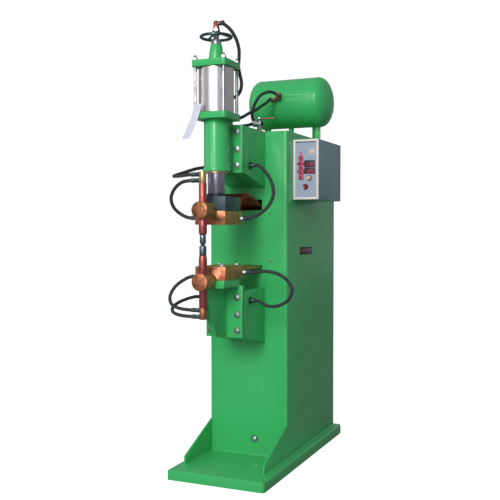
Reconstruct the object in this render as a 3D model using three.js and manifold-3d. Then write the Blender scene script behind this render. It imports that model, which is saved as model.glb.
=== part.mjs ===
// Pneumatic pedestal spot welder.
// Frame: +X to the machine's right seen from the front, +Y to the rear, +Z up, millimetres.
// Origin: centre of the base plate's underside, on the floor.

import * as THREE from 'three';
import { mergeVertices } from 'three/addons/utils/BufferGeometryUtils.js';
import Module from 'manifold-3d';

const wasm = await Module();
wasm.setup();

// ---------------------------------------------------------------- driving dimensions

const seat = 0.3; // gap between pieces that rest on each other
const running = 0.3; // radial gap between a moving piece and its guide

const baseHeight = 37;
const baseMargin = 29.5; // how far the base stands out beside the column
const baseWall = 6;
const baseEdge = 10;
const stiffenerWidth = 60;
const frontOverhang = 290;
const rearOverhang = 12;

const columnWidth = 315;
const columnDepth = 572;
const columnTop = 1250;
const columnWall = 4;
const columnCorner = 10;
const rearFlange = 22;
const coverThickness = 3;
const railWidth = 30;
const railSetbacks = [80, 250];

const toeLength = 215;
const toeThickness = 6;
const toeFrontHeight = 32;
const toeRearHeight = 122;

const armWidth = 140;
const armWall = 10;
const armRise = 42; // how much deeper an arm is at the column than at its front
const flangeThickness = 18;
const headReach = 207; // column face to the front of the bolted flanges
const upperArmFrontDepth = 165;
const lowerArmTop = 671;
const lowerArmFrontDepth = 162.5;
const boltEdge = 19.2; // arm's side to the centre of a flange bolt
const boltHead = 11;
const boltHeadHeight = 8;
const grommetHeight = 4;

const ramReach = 267; // column face to the ram's axis
const ramRadius = 30;
const rodRadius = 17.7;
const pistonBore = 12;
const bushWall = 6;
const headWall = 13; // ram's surface to the outside of the round casting
const neckWidth = 68;

const stroke = 70;
const plateMargin = 4; // barrel's surface to the edge of the square plates
const cylinderPlate = 22;
const barrelRadius = 60.5;
const barrelWall = 6;
const barrelLength = 153.4;
const tieRodRadius = 5.5;

const coneHeight = 57;
const stemRadius = 10;
const stemBore = 4;
const collarHeight = 16.5;
const wheelRadius = 52;
const wheelRim = 5.2;
const wheelDrop = 13;

const elbowReach = 13.5;
const elbowRise = 16.3;

const electrodeReach = 370; // column face to the electrodes' axis
const electrodeRadius = 14;
const shankRadius = 13.2; // the electrode's narrow end, from the clamp outwards
const contactHeight = 834.5;
const tipLength = 33.5;
const upperTip = { radius: 10.5, face: 5.5, slope: 9 };
const lowerTip = { radius: 12, face: 9, slope: 3 };
const holderHalf = 57;
const holderHeight = 46.5;
const bossRadius = 27;
const capRadius = 29;
const capThickness = 27;
const upperRodLength = 172.6;
const lowerRodLength = 173.4;
const waterCapLength = 40;
const waterCapRadius = 12.2;
const waterCapReach = 26; // electrode's axis to the end of a side pipe
const nippleRadius = 6;
const nippleLength = 12;

const hoseDiameter = 12;

const tankRadius = 103;
const tankHalfLength = 180;
const tankDome = 50;
const tankWall = 4;
const tankClearance = 67; // column top to the tank's belly
const tankSetback = 460; // column face to the tank's axis
const tankLegInset = 59.5; // column's side to the inner face of a tank leg
const tankLegSize = 28;
const tankLegThickness = 4;

const controlWidth = 99;
const controlDepth = 273;
const controlHeight = 223;
const controlSetback = 65;
const controlDrop = 28; // column's top to the control box's top
const controlWall = 3;
const panelThickness = 4;
const keyTravel = 3;
const keyCount = 5;
const keyPitch = 18;

// ---------------------------------------------------------------- places that follow from them

const baseLength = frontOverhang + columnDepth + rearOverhang;
const baseWidth = columnWidth + 2 * baseMargin;
const face = frontOverhang - baseLength / 2; // Y of the column's front face
const floorOfColumn = baseHeight + seat;
const ramY = face - ramReach;
const electrodeY = face - electrodeReach;
const flangeFront = face - headReach;
const armFront = flangeFront + flangeThickness + seat;
const upperArmFrontZ = columnTop - upperArmFrontDepth;
const lowerArmFrontZ = lowerArmTop - lowerArmFrontDepth;
const boltSpread = armWidth / 2 - boltEdge;
const grommetY = face - 138;
const upperGrommetZ = upperArmFrontZ + 29;
const lowerGrommetZ = lowerArmTop - 37;

const headRadius = ramRadius + headWall;
const cylinderHalf = barrelRadius + plateMargin;
const tieRodSpread = 0.876 * barrelRadius;
const lowerPlateZ = columnTop + 12 + seat;
const barrelZ = lowerPlateZ + cylinderPlate + seat;
const upperPlateZ = barrelZ + barrelLength + seat;
const coneZ = upperPlateZ + cylinderPlate;
const collarZ = coneZ + coneHeight + seat;
const hubZ = collarZ + collarHeight + 18;
const stemTopZ = hubZ + 22;
const elbowZ = stemTopZ + elbowRise;

const upperRodZ = contactHeight + tipLength + seat;
const lowerRodZ = contactHeight - tipLength - seat - lowerRodLength;
const upperHolderZ = contactHeight + 69.5;
const upperHolderTop = upperHolderZ + holderHeight;
const lowerHolderTop = contactHeight - 72.5;
const lowerHolderZ = lowerHolderTop - holderHeight;
const holderFrontY = face - 317;
const upperHolderRearY = face - 180;
const lowerHolderRearY = face - 148;
const upperBossZ = upperHolderTop + 1.5;
const lowerBossZ = lowerHolderZ - 2.5;
const upperCapZ = upperRodZ + upperRodLength + seat;
const lowerCapZ = lowerRodZ - seat - waterCapLength;
const footTop = upperHolderTop + 49.5;

const shuntEntryZ = upperHolderTop + 22.5;
const busZ = lowerHolderTop - 18.5;
const padY = face + 66; // front of the transformer's terminals
const coreZ = contactHeight - 114.5;
const coreSpan = [face + 84, face + 276];

const tankLegSpread = columnWidth / 2 - tankLegInset;
const tankY = face + tankSetback;
const tankZ = columnTop + tankClearance + tankRadius;
const portX = -12;
const portZ = tankZ + 16;
const portY = tankY - Math.sqrt(tankRadius ** 2 - (portZ - tankZ) ** 2);

const panelY = face + controlSetback;
const controlX = columnWidth / 2 + seat;
const controlTop = columnTop - controlDrop;

// ---------------------------------------------------------------- shape helpers

function solid(geometry) {
  const bare = new THREE.BufferGeometry();
  bare.setAttribute('position', geometry.getAttribute('position'));
  bare.setIndex(geometry.getIndex());
  const merged = mergeVertices(bare, 1e-4);
  const vertProperties = new Float32Array(merged.getAttribute('position').array);
  const triVerts = new Uint32Array(merged.getIndex().array);
  if (signedVolume(vertProperties, triVerts) < 0) triVerts.reverse();
  return new wasm.Manifold(new wasm.Mesh({ numProp: 3, vertProperties, triVerts }));
}

function signedVolume(positions, triangles) {
  const [a, b, c] = [new THREE.Vector3(), new THREE.Vector3(), new THREE.Vector3()];
  let total = 0;
  for (let i = 0; i < triangles.length; i += 3) {
    a.fromArray(positions, 3 * triangles[i]);
    b.fromArray(positions, 3 * triangles[i + 1]);
    c.fromArray(positions, 3 * triangles[i + 2]);
    total += a.dot(b.cross(c));
  }
  return total / 6;
}

function geometryOf(shape) {
  const mesh = shape.getMesh();
  const geometry = new THREE.BufferGeometry();
  geometry.setAttribute('position', new THREE.BufferAttribute(mesh.vertProperties, 3));
  geometry.setIndex(new THREE.BufferAttribute(mesh.triVerts, 1));
  return geometry;
}

function join(...shapes) {
  return shapes.reduce((whole, shape) => whole.add(shape));
}

function cut(shape, ...tools) {
  return tools.reduce((whole, tool) => whole.subtract(tool), shape);
}

function block([x0, x1], [y0, y1], [z0, z1]) {
  const geometry = new THREE.BoxGeometry(x1 - x0, y1 - y0, z1 - z0);
  geometry.translate((x0 + x1) / 2, (y0 + y1) / 2, (z0 + z1) / 2);
  return solid(geometry);
}

// A body of revolution about a vertical axis, from an outline of [radius, height] pairs.
function turned(outline, x, y, segments = 32) {
  const points = outline.map(([radius, height]) => new THREE.Vector2(radius, height));
  const geometry = new THREE.LatheGeometry(points, segments);
  geometry.rotateX(Math.PI / 2);
  geometry.translate(x, y, 0);
  return solid(geometry);
}

// A cylinder between two points.
function bar(from, to, radius, segments = 16) {
  const start = new THREE.Vector3(...from);
  const along = new THREE.Vector3(...to).sub(start);
  const geometry = new THREE.CylinderGeometry(radius, radius, along.length(), segments);
  geometry.translate(0, along.length() / 2, 0);
  const up = new THREE.Vector3(0, 1, 0);
  geometry.applyQuaternion(new THREE.Quaternion().setFromUnitVectors(up, along.clone().normalize()));
  geometry.translate(start.x, start.y, start.z);
  return solid(geometry);
}

function ring(inner, outer, z0, z1, x, y, segments = 32) {
  const outline = [[inner, z0], [outer, z0], [outer, z1], [inner, z1], [inner, z0]];
  return turned(outline, x, y, segments);
}

function outlineShape(points) {
  return new THREE.Shape(points.map(([u, v]) => new THREE.Vector2(u, v)));
}

function extruded(shape, depth, curveSegments = 6) {
  return new THREE.ExtrudeGeometry(shape, { depth, bevelEnabled: false, curveSegments });
}

// An outline in the plane of Y and Z, pushed along X.
function sideProfile(points, [x0, x1]) {
  const geometry = extruded(outlineShape(points), x1 - x0);
  const toWorld = new THREE.Matrix4().makeBasis(
    new THREE.Vector3(0, 1, 0),
    new THREE.Vector3(0, 0, 1),
    new THREE.Vector3(1, 0, 0),
  );
  geometry.applyMatrix4(toWorld);
  geometry.translate(x0, 0, 0);
  return solid(geometry);
}

// A rectangle in the plane of X and Y with rounded corners, pushed along Z.
function roundedPlate([x0, x1], [y0, y1], [z0, z1], radius, curveSegments = 5) {
  const shape = new THREE.Shape();
  shape.moveTo(x0 + radius, y0);
  shape.lineTo(x1 - radius, y0);
  shape.absarc(x1 - radius, y0 + radius, radius, -Math.PI / 2, 0);
  shape.lineTo(x1, y1 - radius);
  shape.absarc(x1 - radius, y1 - radius, radius, 0, Math.PI / 2);
  shape.lineTo(x0 + radius, y1);
  shape.absarc(x0 + radius, y1 - radius, radius, Math.PI / 2, Math.PI);
  shape.lineTo(x0, y0 + radius);
  shape.absarc(x0 + radius, y0 + radius, radius, Math.PI, Math.PI * 1.5);
  const geometry = extruded(shape, z1 - z0, curveSegments);
  geometry.translate(0, 0, z0);
  return solid(geometry);
}

// A hexagonal bolt head whose flat sits on a plane facing the front.
function frontBoltHead(x, y, z) {
  return bar([x, y + 1, z], [x, y - boltHeadHeight, z], boltHead, 6);
}

// A hose of round section through the points of its route.
function hoseAlong(points, sides = 8) {
  const route = new THREE.CatmullRomCurve3(points.map((point) => new THREE.Vector3(...point)));
  const steps = Math.ceil(route.getLength() / (2.2 * hoseDiameter));
  const section = new THREE.Shape();
  const corners = Array.from({ length: sides }, (_, i) => (2 * Math.PI * i) / sides);
  section.setFromPoints(corners.map((angle) => new THREE.Vector2(
    (hoseDiameter / 2) * Math.cos(angle),
    (hoseDiameter / 2) * Math.sin(angle),
  )));
  return solid(new THREE.ExtrudeGeometry(section, { steps, extrudePath: route, bevelEnabled: false }));
}

// ---------------------------------------------------------------- finishes

const finishes = {
  greenPaint: { color: 0x2fa25a, roughness: 0.4, metalness: 0 },
  brightSteel: { color: 0xc9ccd0, roughness: 0.25, metalness: 1 },
  darkSteel: { color: 0x4a4e52, roughness: 0.45, metalness: 0.8 },
  aluminium: { color: 0xd5d2d6, roughness: 0.3, metalness: 1 },
  copper: { color: 0xb4694a, roughness: 0.35, metalness: 1 },
  brass: { color: 0xc9a36a, roughness: 0.35, metalness: 1 },
  hoseRubber: { color: 0x14181b, roughness: 0.45, metalness: 0 },
  insulator: { color: 0x24414a, roughness: 0.6, metalness: 0 },
  greyPaint: { color: 0x5d7076, roughness: 0.45, metalness: 0 },
  panelPaint: { color: 0x9fb0c4, roughness: 0.5, metalness: 0 },
  redPlastic: { color: 0xb0213f, roughness: 0.35, metalness: 0 },
  amberPlastic: { color: 0xe0a070, roughness: 0.35, metalness: 0 },
  winding: { color: 0x8a4a1f, roughness: 0.5, metalness: 0.2 },
};

const group = new THREE.Group();

function add(name, shape, finish) {
  const mesh = new THREE.Mesh(geometryOf(shape), new THREE.MeshStandardMaterial(finishes[finish]));
  mesh.name = name;
  group.add(mesh);
  return mesh;
}

// ---------------------------------------------------------------- base, column and cover

function basePlate() {
  const [halfWidth, halfLength] = [baseWidth / 2, baseLength / 2];
  const lowered = baseHeight - baseEdge;
  const crossRound = new THREE.Shape();
  crossRound.moveTo(-halfWidth, 0);
  crossRound.lineTo(halfWidth, 0);
  crossRound.lineTo(halfWidth, lowered);
  crossRound.absarc(halfWidth - baseEdge, lowered, baseEdge, 0, Math.PI / 2);
  crossRound.lineTo(-halfWidth + baseEdge, baseHeight);
  crossRound.absarc(-halfWidth + baseEdge, lowered, baseEdge, Math.PI / 2, Math.PI);
  const across = extruded(crossRound, baseLength, 4);
  across.rotateX(Math.PI / 2);
  across.translate(0, halfLength, 0);
  const plan = roundedPlate(
    [-halfWidth, halfWidth], [-halfLength, halfLength], [0, baseHeight], baseEdge, 3);
  const inner = block(
    [-halfWidth + baseWall, halfWidth - baseWall],
    [-halfLength + baseWall, halfLength - baseWall],
    [-1, baseHeight - baseWall]);
  const stiffeners = [-0.32, 0, 0.32].map((share) => block(
    [-halfWidth + baseWall / 2, halfWidth - baseWall / 2],
    [share * baseLength - stiffenerWidth / 2, share * baseLength + stiffenerWidth / 2],
    [0, baseHeight - baseWall / 2]));
  return join(cut(solid(across).intersect(plan), inner), ...stiffeners);
}

function columnShell() {
  const half = columnWidth / 2;
  const rear = face + columnDepth;
  const outer = roundedPlate([-half, half], [face, rear], [floorOfColumn, columnTop], columnCorner, 4);
  const inner = block(
    [-half + columnWall, half - columnWall],
    [face + columnWall, rear - columnWall],
    [floorOfColumn - 1, columnTop - columnWall]);
  const rearWindow = block(
    [-half + rearFlange, half - rearFlange],
    [rear - 2 * columnWall, rear + 1],
    [floorOfColumn + rearFlange, columnTop - rearFlange]);
  const rails = railSetbacks.map((setback) => block(
    [-half + columnWall / 2, half - columnWall / 2],
    [face + setback, face + setback + railWidth],
    [coreZ - 16, coreZ - seat]));
  return join(cut(outer, inner, rearWindow, ...frontWindows()), ...rails, toePlate(-1), toePlate(1));
}

// The holes in the column's front: the two conductors' and the two arms'.
function frontWindows() {
  const depth = [face - 1, face + columnWall + 1];
  const conductors = [-holderHalf - 1, holderHalf + 1];
  const passage = [-armWidth / 3, armWidth / 3];
  return [
    block(conductors, depth, [shuntEntryZ - 15, shuntEntryZ + 26]),
    block(conductors, depth, [busZ - 2, busZ + busThickness + 2]),
    block(passage, depth, [columnTop - 180, columnTop - 40]),
    block(passage, depth, [lowerArmTop - 170, lowerArmTop - 30]),
  ];
}

function toePlate(side) {
  const outerX = side * columnWidth / 2;
  const innerX = outerX - side * toeThickness;
  const outline = [
    [face - toeLength, floorOfColumn],
    [face + columnCorner + 2, floorOfColumn],
    [face + columnCorner + 2, baseHeight + toeRearHeight],
    [face, baseHeight + toeRearHeight],
    [face - toeLength, baseHeight + toeFrontHeight],
  ];
  return sideProfile(outline, [Math.min(outerX, innerX), Math.max(outerX, innerX)]);
}

function rearCover() {
  const half = columnWidth / 2 - rearFlange / 2;
  const rear = face + columnDepth + seat;
  return block([-half, half], [rear, rear + coverThickness],
    [floorOfColumn + rearFlange / 2, columnTop - rearFlange / 2]);
}

function earthBolt() {
  const [x, z] = [28.5, 100];
  const washer = bar([x, face - seat, z], [x, face - 3, z], 13.5, 20);
  const head = bar([x, face - 2, z], [x, face - 9, z], 9, 6);
  return join(washer, head);
}

// ---------------------------------------------------------------- arms

// A hollow arm, closed in front by the plate that the bolted flange sits on, open to the column.
function armBox(top, frontZ, grommetZ) {
  const half = armWidth / 2;
  const root = face - seat;
  const outline = (inset) => [
    [armFront + 1.8 * inset, frontZ + inset],
    [root + 0.1 * inset, frontZ - armRise + inset],
    [root + 0.1 * inset, top - inset],
    [armFront + 1.8 * inset, top - inset],
  ];
  const outer = sideProfile(outline(0), [-half, half]);
  const inner = sideProfile(outline(armWall), [-half + armWall, half - armWall]);
  const grommets = [-1, 1].map((side) => bar(
    [side * (half - 2), grommetY, grommetZ], [side * (half + grommetHeight), grommetY, grommetZ], 11, 16));
  return join(cut(outer, inner), ...grommets);
}

// ---------------------------------------------------------------- head and ram

// Three rows of two bolt heads on a flange.
function flangeBolts(top, frontDepth) {
  const firstZ = top - 21.5;
  const heights = [0, 0.37, 0.715].map((share) => firstZ - share * frontDepth);
  return heights.flatMap((z) => [-1, 1].map((side) => frontBoltHead(side * boltSpread, flangeFront, z)));
}

function headCasting() {
  const bottom = upperArmFrontZ + 1;
  const top = lowerPlateZ - seat;
  const half = armWidth / 2;
  const collar = 5;
  const round = turned([
    [0, bottom], [headRadius + collar, bottom], [headRadius + collar, bottom + 8],
    [headRadius, bottom + 16], [headRadius, top], [0, top],
  ], 0, ramY, 40);
  const neck = block([-neckWidth / 2, neckWidth / 2], [ramY, flangeFront + 2], [bottom + 8, top]);
  const flange = block([-half, half], [flangeFront, flangeFront + flangeThickness],
    [upperArmFrontZ, columnTop]);
  const bore = turned([
    [0, bottom - 1], [ramRadius + bushWall + seat, bottom - 1],
    [ramRadius + bushWall + seat, top + 1], [0, top + 1],
  ], 0, ramY);
  return cut(join(round, neck, flange, ...flangeBolts(columnTop, upperArmFrontDepth)), bore);
}

function guideBush() {
  const bottom = upperArmFrontZ - 4;
  const inner = ramRadius + running;
  return turned([
    [inner, bottom], [ramRadius + bushWall + 4, bottom], [ramRadius + bushWall + 4, bottom + 4.7],
    [ramRadius + bushWall, bottom + 4.7], [ramRadius + bushWall, bottom + 70],
    [inner, bottom + 70], [inner, bottom],
  ], 0, ramY);
}

const footRing = 10;
const pistonZ = barrelZ + 15;
const pistonHeight = 34;

function ram() {
  const bottom = footTop + footRing + seat;
  const shoulder = lowerPlateZ - stroke - 4;
  const nut = pistonZ + pistonHeight + seat;
  return turned([
    [0, bottom], [ramRadius, bottom], [ramRadius, shoulder], [rodRadius, shoulder],
    [rodRadius, pistonZ - seat], [pistonBore, pistonZ - seat], [pistonBore, nut],
    [pistonBore + 5, nut], [pistonBore + 5, nut + 9], [0, nut + 9],
  ], 0, ramY);
}

function piston() {
  const outer = barrelRadius - barrelWall - running;
  return ring(pistonBore + seat, outer, pistonZ, pistonZ + pistonHeight, 0, ramY);
}

// ---------------------------------------------------------------- air cylinder

const tieRodPlaces = [[-1, -1], [1, -1], [1, 1], [-1, 1]].map(([u, v]) => [
  u * tieRodSpread, ramY + v * tieRodSpread,
]);

function tieRodHoles(z0, z1) {
  const radius = tieRodRadius + seat;
  return tieRodPlaces.map(([x, y]) => bar([x, y, z0], [x, y, z1], radius, 12));
}

function cylinderPlateAt(z, bore) {
  const half = cylinderHalf;
  const plate = roundedPlate([-half, half], [ramY - half, ramY + half], [z, z + cylinderPlate], 12, 4);
  const axis = bar([0, ramY, z - 1], [0, ramY, z + cylinderPlate + 1], bore, 32);
  return cut(plate, axis, ...tieRodHoles(z - 1, z + cylinderPlate + 1));
}

function upperCylinderPlate() {
  const bore = stemRadius + running;
  const cone = turned([
    [bore, coneZ - 2], [28, coneZ - 2], [28, coneZ + 2], [20, coneZ + coneHeight],
    [bore, coneZ + coneHeight], [bore, coneZ - 2],
  ], 0, ramY);
  return join(cylinderPlateAt(upperPlateZ, bore), cone);
}

function barrel() {
  return ring(barrelRadius - barrelWall, barrelRadius, barrelZ, barrelZ + barrelLength, 0, ramY, 48);
}

function tieRod([x, y]) {
  const top = coneZ + seat;
  const nutRadius = 9;
  return join(
    bar([x, y, lowerPlateZ], [x, y, top + 16], tieRodRadius, 10),
    bar([x, y, top], [x, y, top + 9], nutRadius, 6));
}

function adjusterCollar() {
  return ring(stemRadius + running, 18, collarZ, collarZ + collarHeight, 0, ramY, 24);
}

function adjusterStem() {
  const bottom = upperPlateZ - 20;
  return ring(stemBore, stemRadius, bottom, stemTopZ, 0, ramY, 20);
}

function handwheel() {
  const rimZ = hubZ + 6 - wheelDrop;
  const bore = stemRadius + seat;
  const rimOutline = Array.from({ length: 11 }, (_, i) => {
    const angle = (2 * Math.PI * i) / 10;
    return [wheelRadius + wheelRim * Math.cos(angle), rimZ + wheelRim * Math.sin(angle)];
  });
  rimOutline[10] = rimOutline[0];
  const spokes = [0, 1, 2].map((i) => {
    const angle = -Math.PI / 2 + (2 * Math.PI * i) / 3;
    const [u, v] = [Math.cos(angle), Math.sin(angle)];
    return bar(
      [13 * u, ramY + 13 * v, hubZ + 6], [wheelRadius * u, ramY + wheelRadius * v, rimZ], 3.4, 8);
  });
  const hub = ring(bore, 15, hubZ, hubZ + 12, 0, ramY, 24);
  const nut = cut(
    bar([0, ramY, hubZ + 11], [0, ramY, stemTopZ], 13, 6),
    bar([0, ramY, hubZ], [0, ramY, stemTopZ + 1], bore, 20));
  return join(turned(rimOutline, 0, ramY, 36), ...spokes, hub, nut);
}

function airElbow() {
  const bottom = stemTopZ + seat;
  const body = turned([
    [0, bottom], [8, bottom], [9.5, bottom + 4], [9.5, elbowZ + 2], [7, elbowZ + 9], [0, elbowZ + 11],
  ], 0, ramY, 20);
  return join(body, bar([0, ramY, elbowZ], [elbowReach, ramY, elbowZ], 7.5, 14));
}

// ---------------------------------------------------------------- electrodes and holders

function sideNipple(side, y, z) {
  return bar([side * (holderHalf - 2), y, z], [side * (holderHalf + nippleLength), y, z], nippleRadius, 12);
}

function electrodeBore(z0, z1) {
  return bar([0, electrodeY, z0], [0, electrodeY, z1], shankRadius + seat, 20);
}

function clampBoss(y1, z) {
  return bar([0, electrodeY + seat, z], [0, y1, z], bossRadius, 32);
}

function clampCap(z) {
  const cap = bar([0, electrodeY - seat, z], [0, electrodeY - capThickness, z], capRadius, 32);
  return cut(cap, electrodeBore(z - 40, z + 40));
}

const linkY = face - 290;
const upperLinkZ = upperBossZ - 24;
const lowerLinkZ = lowerBossZ + 11;
const upperNozzle = { y: face - 192, z: upperHolderZ + 22 };
const lowerNozzle = { y: face - 169, z: lowerHolderZ + 22 };

function holder(rearY, z, bossZ, nozzle, linkZ) {
  const body = block([-holderHalf, holderHalf], [holderFrontY, rearY], [z, z + holderHeight]);
  const boss = clampBoss(holderFrontY + 8, bossZ);
  const nipples = [sideNipple(1, nozzle.y, nozzle.z), sideNipple(-1, linkY, linkZ)];
  return cut(join(body, boss, ...nipples), electrodeBore(z - 60, z + holderHeight + 60));
}

// The space a neighbouring piece fills behind a holder's boss.
function behindBoss(z0, z1) {
  return block([-bossRadius - 1, bossRadius + 1], [holderFrontY, holderFrontY + 10], [z0, z1]);
}

function ramFoot() {
  const body = block([-42, holderHalf], [holderFrontY, face - 195], [upperHolderTop + seat, footTop]);
  const flange = bar([0, ramY, footTop - 1], [0, ramY, footTop + footRing], ramRadius + 3, 32);
  return join(body, flange);
}

function upperHolder() {
  const whole = holder(upperHolderRearY, upperHolderZ, upperBossZ, upperNozzle, upperLinkZ);
  return cut(whole, behindBoss(upperHolderTop, upperHolderTop + 60));
}

function lowerHolder() {
  const whole = holder(lowerHolderRearY, lowerHolderZ, lowerBossZ, lowerNozzle, lowerLinkZ);
  return cut(whole, behindBoss(lowerHolderZ - 60, lowerHolderZ));
}

// A rod with a wide sleeve between its tip and its clamp. tipZ is its end at the tip, capZ the other.
function electrodeRod(tipZ, capZ, clampZ, tip) {
  const away = Math.sign(capZ - tipZ);
  const shoulder = clampZ - away * (capRadius + seat);
  return turned([
    [0, tipZ], [tip.radius, tipZ], [electrodeRadius, tipZ + away * 10], [electrodeRadius, shoulder],
    [shankRadius, shoulder], [shankRadius, capZ], [0, capZ],
  ], 0, electrodeY, 24);
}

function electrodeTip(towardsContact, tip) {
  const contact = contactHeight - towardsContact * seat / 2;
  const root = contact - towardsContact * (tipLength - seat / 2);
  return turned([
    [0, root], [tip.radius - 0.6, root], [tip.radius, root + towardsContact * 2],
    [tip.radius, contact - towardsContact * tip.slope], [tip.face, contact], [0, contact],
  ], 0, electrodeY, 24);
}

function waterCap(z, nippleHeights) {
  const body = turned([
    [0, z], [waterCapRadius, z], [waterCapRadius, z + waterCapLength], [0, z + waterCapLength],
  ], 0, electrodeY, 20);
  const nipples = nippleHeights.map((height) => bar(
    [0, electrodeY, height], [-waterCapReach, electrodeY, height], nippleRadius, 12));
  return join(body, ...nipples);
}

const upperNipples = [upperCapZ + 30, upperCapZ + 10];
const lowerNipples = [lowerCapZ + 31, lowerCapZ + 9];

function lowerBracket() {
  const half = armWidth / 2;
  const top = lowerHolderZ - seat;
  const plateZ = top - 26;
  const flange = block([-half, half], [flangeFront, flangeFront + flangeThickness],
    [lowerArmFrontZ, plateZ + 2]);
  const table = block([-holderHalf + 1, holderHalf - 1], [face - 325, face - 197], [plateZ, top]);
  const web = sideProfile([
    [flangeFront + 2, lowerArmFrontZ + 10],
    [flangeFront + 2, top - 2],
    [face - 356, top - 2],
    [face - 356, lowerArmTop - 37],
    [face - 285, lowerArmFrontZ + 10],
  ], [-9, 9]);
  const rodPath = bar([0, electrodeY, 400], [0, electrodeY, 900], electrodeRadius + 2, 20);
  const bossFront = [0, electrodeY - 30, lowerBossZ];
  const bossPath = bar(bossFront, [0, holderFrontY, lowerBossZ], bossRadius + seat, 32);
  const bolts = flangeBolts(lowerArmTop, lowerArmFrontDepth);
  return cut(join(flange, table, web, ...bolts), rodPath, bossPath);
}

// ---------------------------------------------------------------- conductors and transformer

// A strap bent along a curve in the plane of Y and Z.
function bentStrap(route, thickness, [x0, x1], samples = 24) {
  const curve = new THREE.CatmullRomCurve3(route.map(([y, z]) => new THREE.Vector3(y, z, 0)));
  const upperSide = [];
  const lowerSide = [];
  for (let i = 0; i <= samples; i += 1) {
    const point = curve.getPointAt(i / samples);
    const tangent = curve.getTangentAt(i / samples);
    const [offY, offZ] = [-tangent.y * thickness / 2, tangent.x * thickness / 2];
    upperSide.push([point.x + offY, point.y + offZ]);
    lowerSide.unshift([point.x - offY, point.y - offZ]);
  }
  return sideProfile([...upperSide, ...lowerSide], [x0, x1]);
}

const shuntThickness = 9;
const busThickness = 9;
const conductorSpan = [-48, 55.5];

function shunt() {
  const foot = upperHolderRearY - 6;
  const [low, entry] = [upperHolderTop + seat, shuntEntryZ];
  return bentStrap([
    [foot, low], [foot, low + 24], [foot + 14, low + 47], [foot + 40, low + 58], [foot + 62, low + 60],
    [face - 94, entry + 34], [face - 58, entry + 22], [face - 20, entry + 8], [face + 20, entry + 1],
    [padY - seat, entry],
  ], shuntThickness, conductorSpan);
}

function busBar() {
  return block(conductorSpan, [lowerHolderRearY + seat, padY - seat], [busZ, busZ + busThickness]);
}

const coreHeight = 270;
const yoke = 35;
const limb = 30;
const coilHalf = 67;

function transformerCore() {
  const frame = block([-95, 95], coreSpan, [coreZ, coreZ + coreHeight]);
  const windows = [-1, 1].map((side) => block(
    [Math.min(side * limb, side * (coilHalf + 1)), Math.max(side * limb, side * (coilHalf + 1))],
    [coreSpan[0] - 1, coreSpan[1] + 1],
    [coreZ + yoke, coreZ + coreHeight - yoke]));
  return cut(frame, ...windows);
}

function transformerCoil() {
  const [low, high] = [coreZ + yoke + seat, coreZ + coreHeight - yoke - seat];
  const around = block([-coilHalf, coilHalf], [coreSpan[0] - 10, coreSpan[1] + 10], [low, high]);
  const core = block([-limb - 1, limb + 1], [coreSpan[0] - 1, coreSpan[1] + 1], [low - 1, high + 1]);
  const terminal = (z0, z1) => block([-50, 50], [padY, coreSpan[0] - 9], [z0, z1]);
  return join(cut(around, core), terminal(high - 60, shuntEntryZ + 15), terminal(busZ - 9, low + 60));
}

// ---------------------------------------------------------------- air supply

function tankShape(radius, halfLength, dome) {
  const arc = 7;
  const left = Array.from({ length: arc + 1 }, (_, i) => {
    const angle = (Math.PI / 2) * (i / arc);
    return [radius * Math.sin(angle), -halfLength + dome * (1 - Math.cos(angle))];
  });
  const right = left.map(([r, x]) => [r, -x]).reverse();
  const points = [...left, ...right].map(([r, x]) => new THREE.Vector2(r, x));
  points[0].x = 0;
  points[points.length - 1].x = 0;
  const geometry = new THREE.LatheGeometry(points, 32);
  geometry.rotateZ(-Math.PI / 2);
  geometry.translate(0, tankY, tankZ);
  return solid(geometry);
}

// An angle section standing on the column, its corner to the rear and towards the middle.
function tankLeg(side) {
  const spanX = (width) => {
    const ends = [side * tankLegSpread, side * (tankLegSpread + width)];
    return [Math.min(...ends), Math.max(...ends)];
  };
  const rear = tankY + tankLegSize / 2;
  const rise = [columnTop + seat, tankZ - tankRadius + 20];
  return join(
    block(spanX(tankLegSize), [rear - tankLegThickness, rear], rise),
    block(spanX(tankLegThickness), [rear - tankLegSize, rear], rise));
}

function airTank() {
  const drain = bar([0, tankY, tankZ - tankRadius - 26], [0, tankY, tankZ - tankRadius + 8], 11, 16);
  const outer = join(tankShape(tankRadius, tankHalfLength, tankDome), tankLeg(-1), tankLeg(1), drain);
  const inner = tankShape(tankRadius - tankWall, tankHalfLength - tankWall, tankDome - tankWall);
  const port = bar([portX, portY - 20, portZ], [portX, tankY, portZ], 6, 12);
  return cut(outer, inner, port);
}

const upperTeeNozzle = [portX, portY - 34, portZ + 6];
const lowerTeeNozzle = [portX - 24, portY - 34, portZ - 16];

function tankTee() {
  const crossY = portY - 16;
  const lowerX = lowerTeeNozzle[0];
  return join(
    bar([portX, portY - 2, portZ], [portX, crossY, portZ], 9, 14),
    bar([portX, crossY, portZ - 12], [portX, crossY, portZ + 14], 9, 14),
    bar([portX, crossY, portZ - 4], [lowerX, crossY, lowerTeeNozzle[2]], 8, 14),
    bar([portX, crossY, upperTeeNozzle[2]], upperTeeNozzle, 7, 12),
    bar([lowerX, crossY + 4, lowerTeeNozzle[2]], lowerTeeNozzle, 7, 12));
}

const valveX = 38;
const valveY = face + 20;
const valveZ = columnTop + 33;
const leverZ = valveZ + 15;
const valveElbowX = valveX - 24;
const valveNozzleY = valveY + 22;
const solenoidRear = face - 122;
const solenoidPort = [-34, face - 134, columnTop + 62];
const solenoidInlet = [-22, solenoidRear + 12, columnTop + 34];

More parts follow.
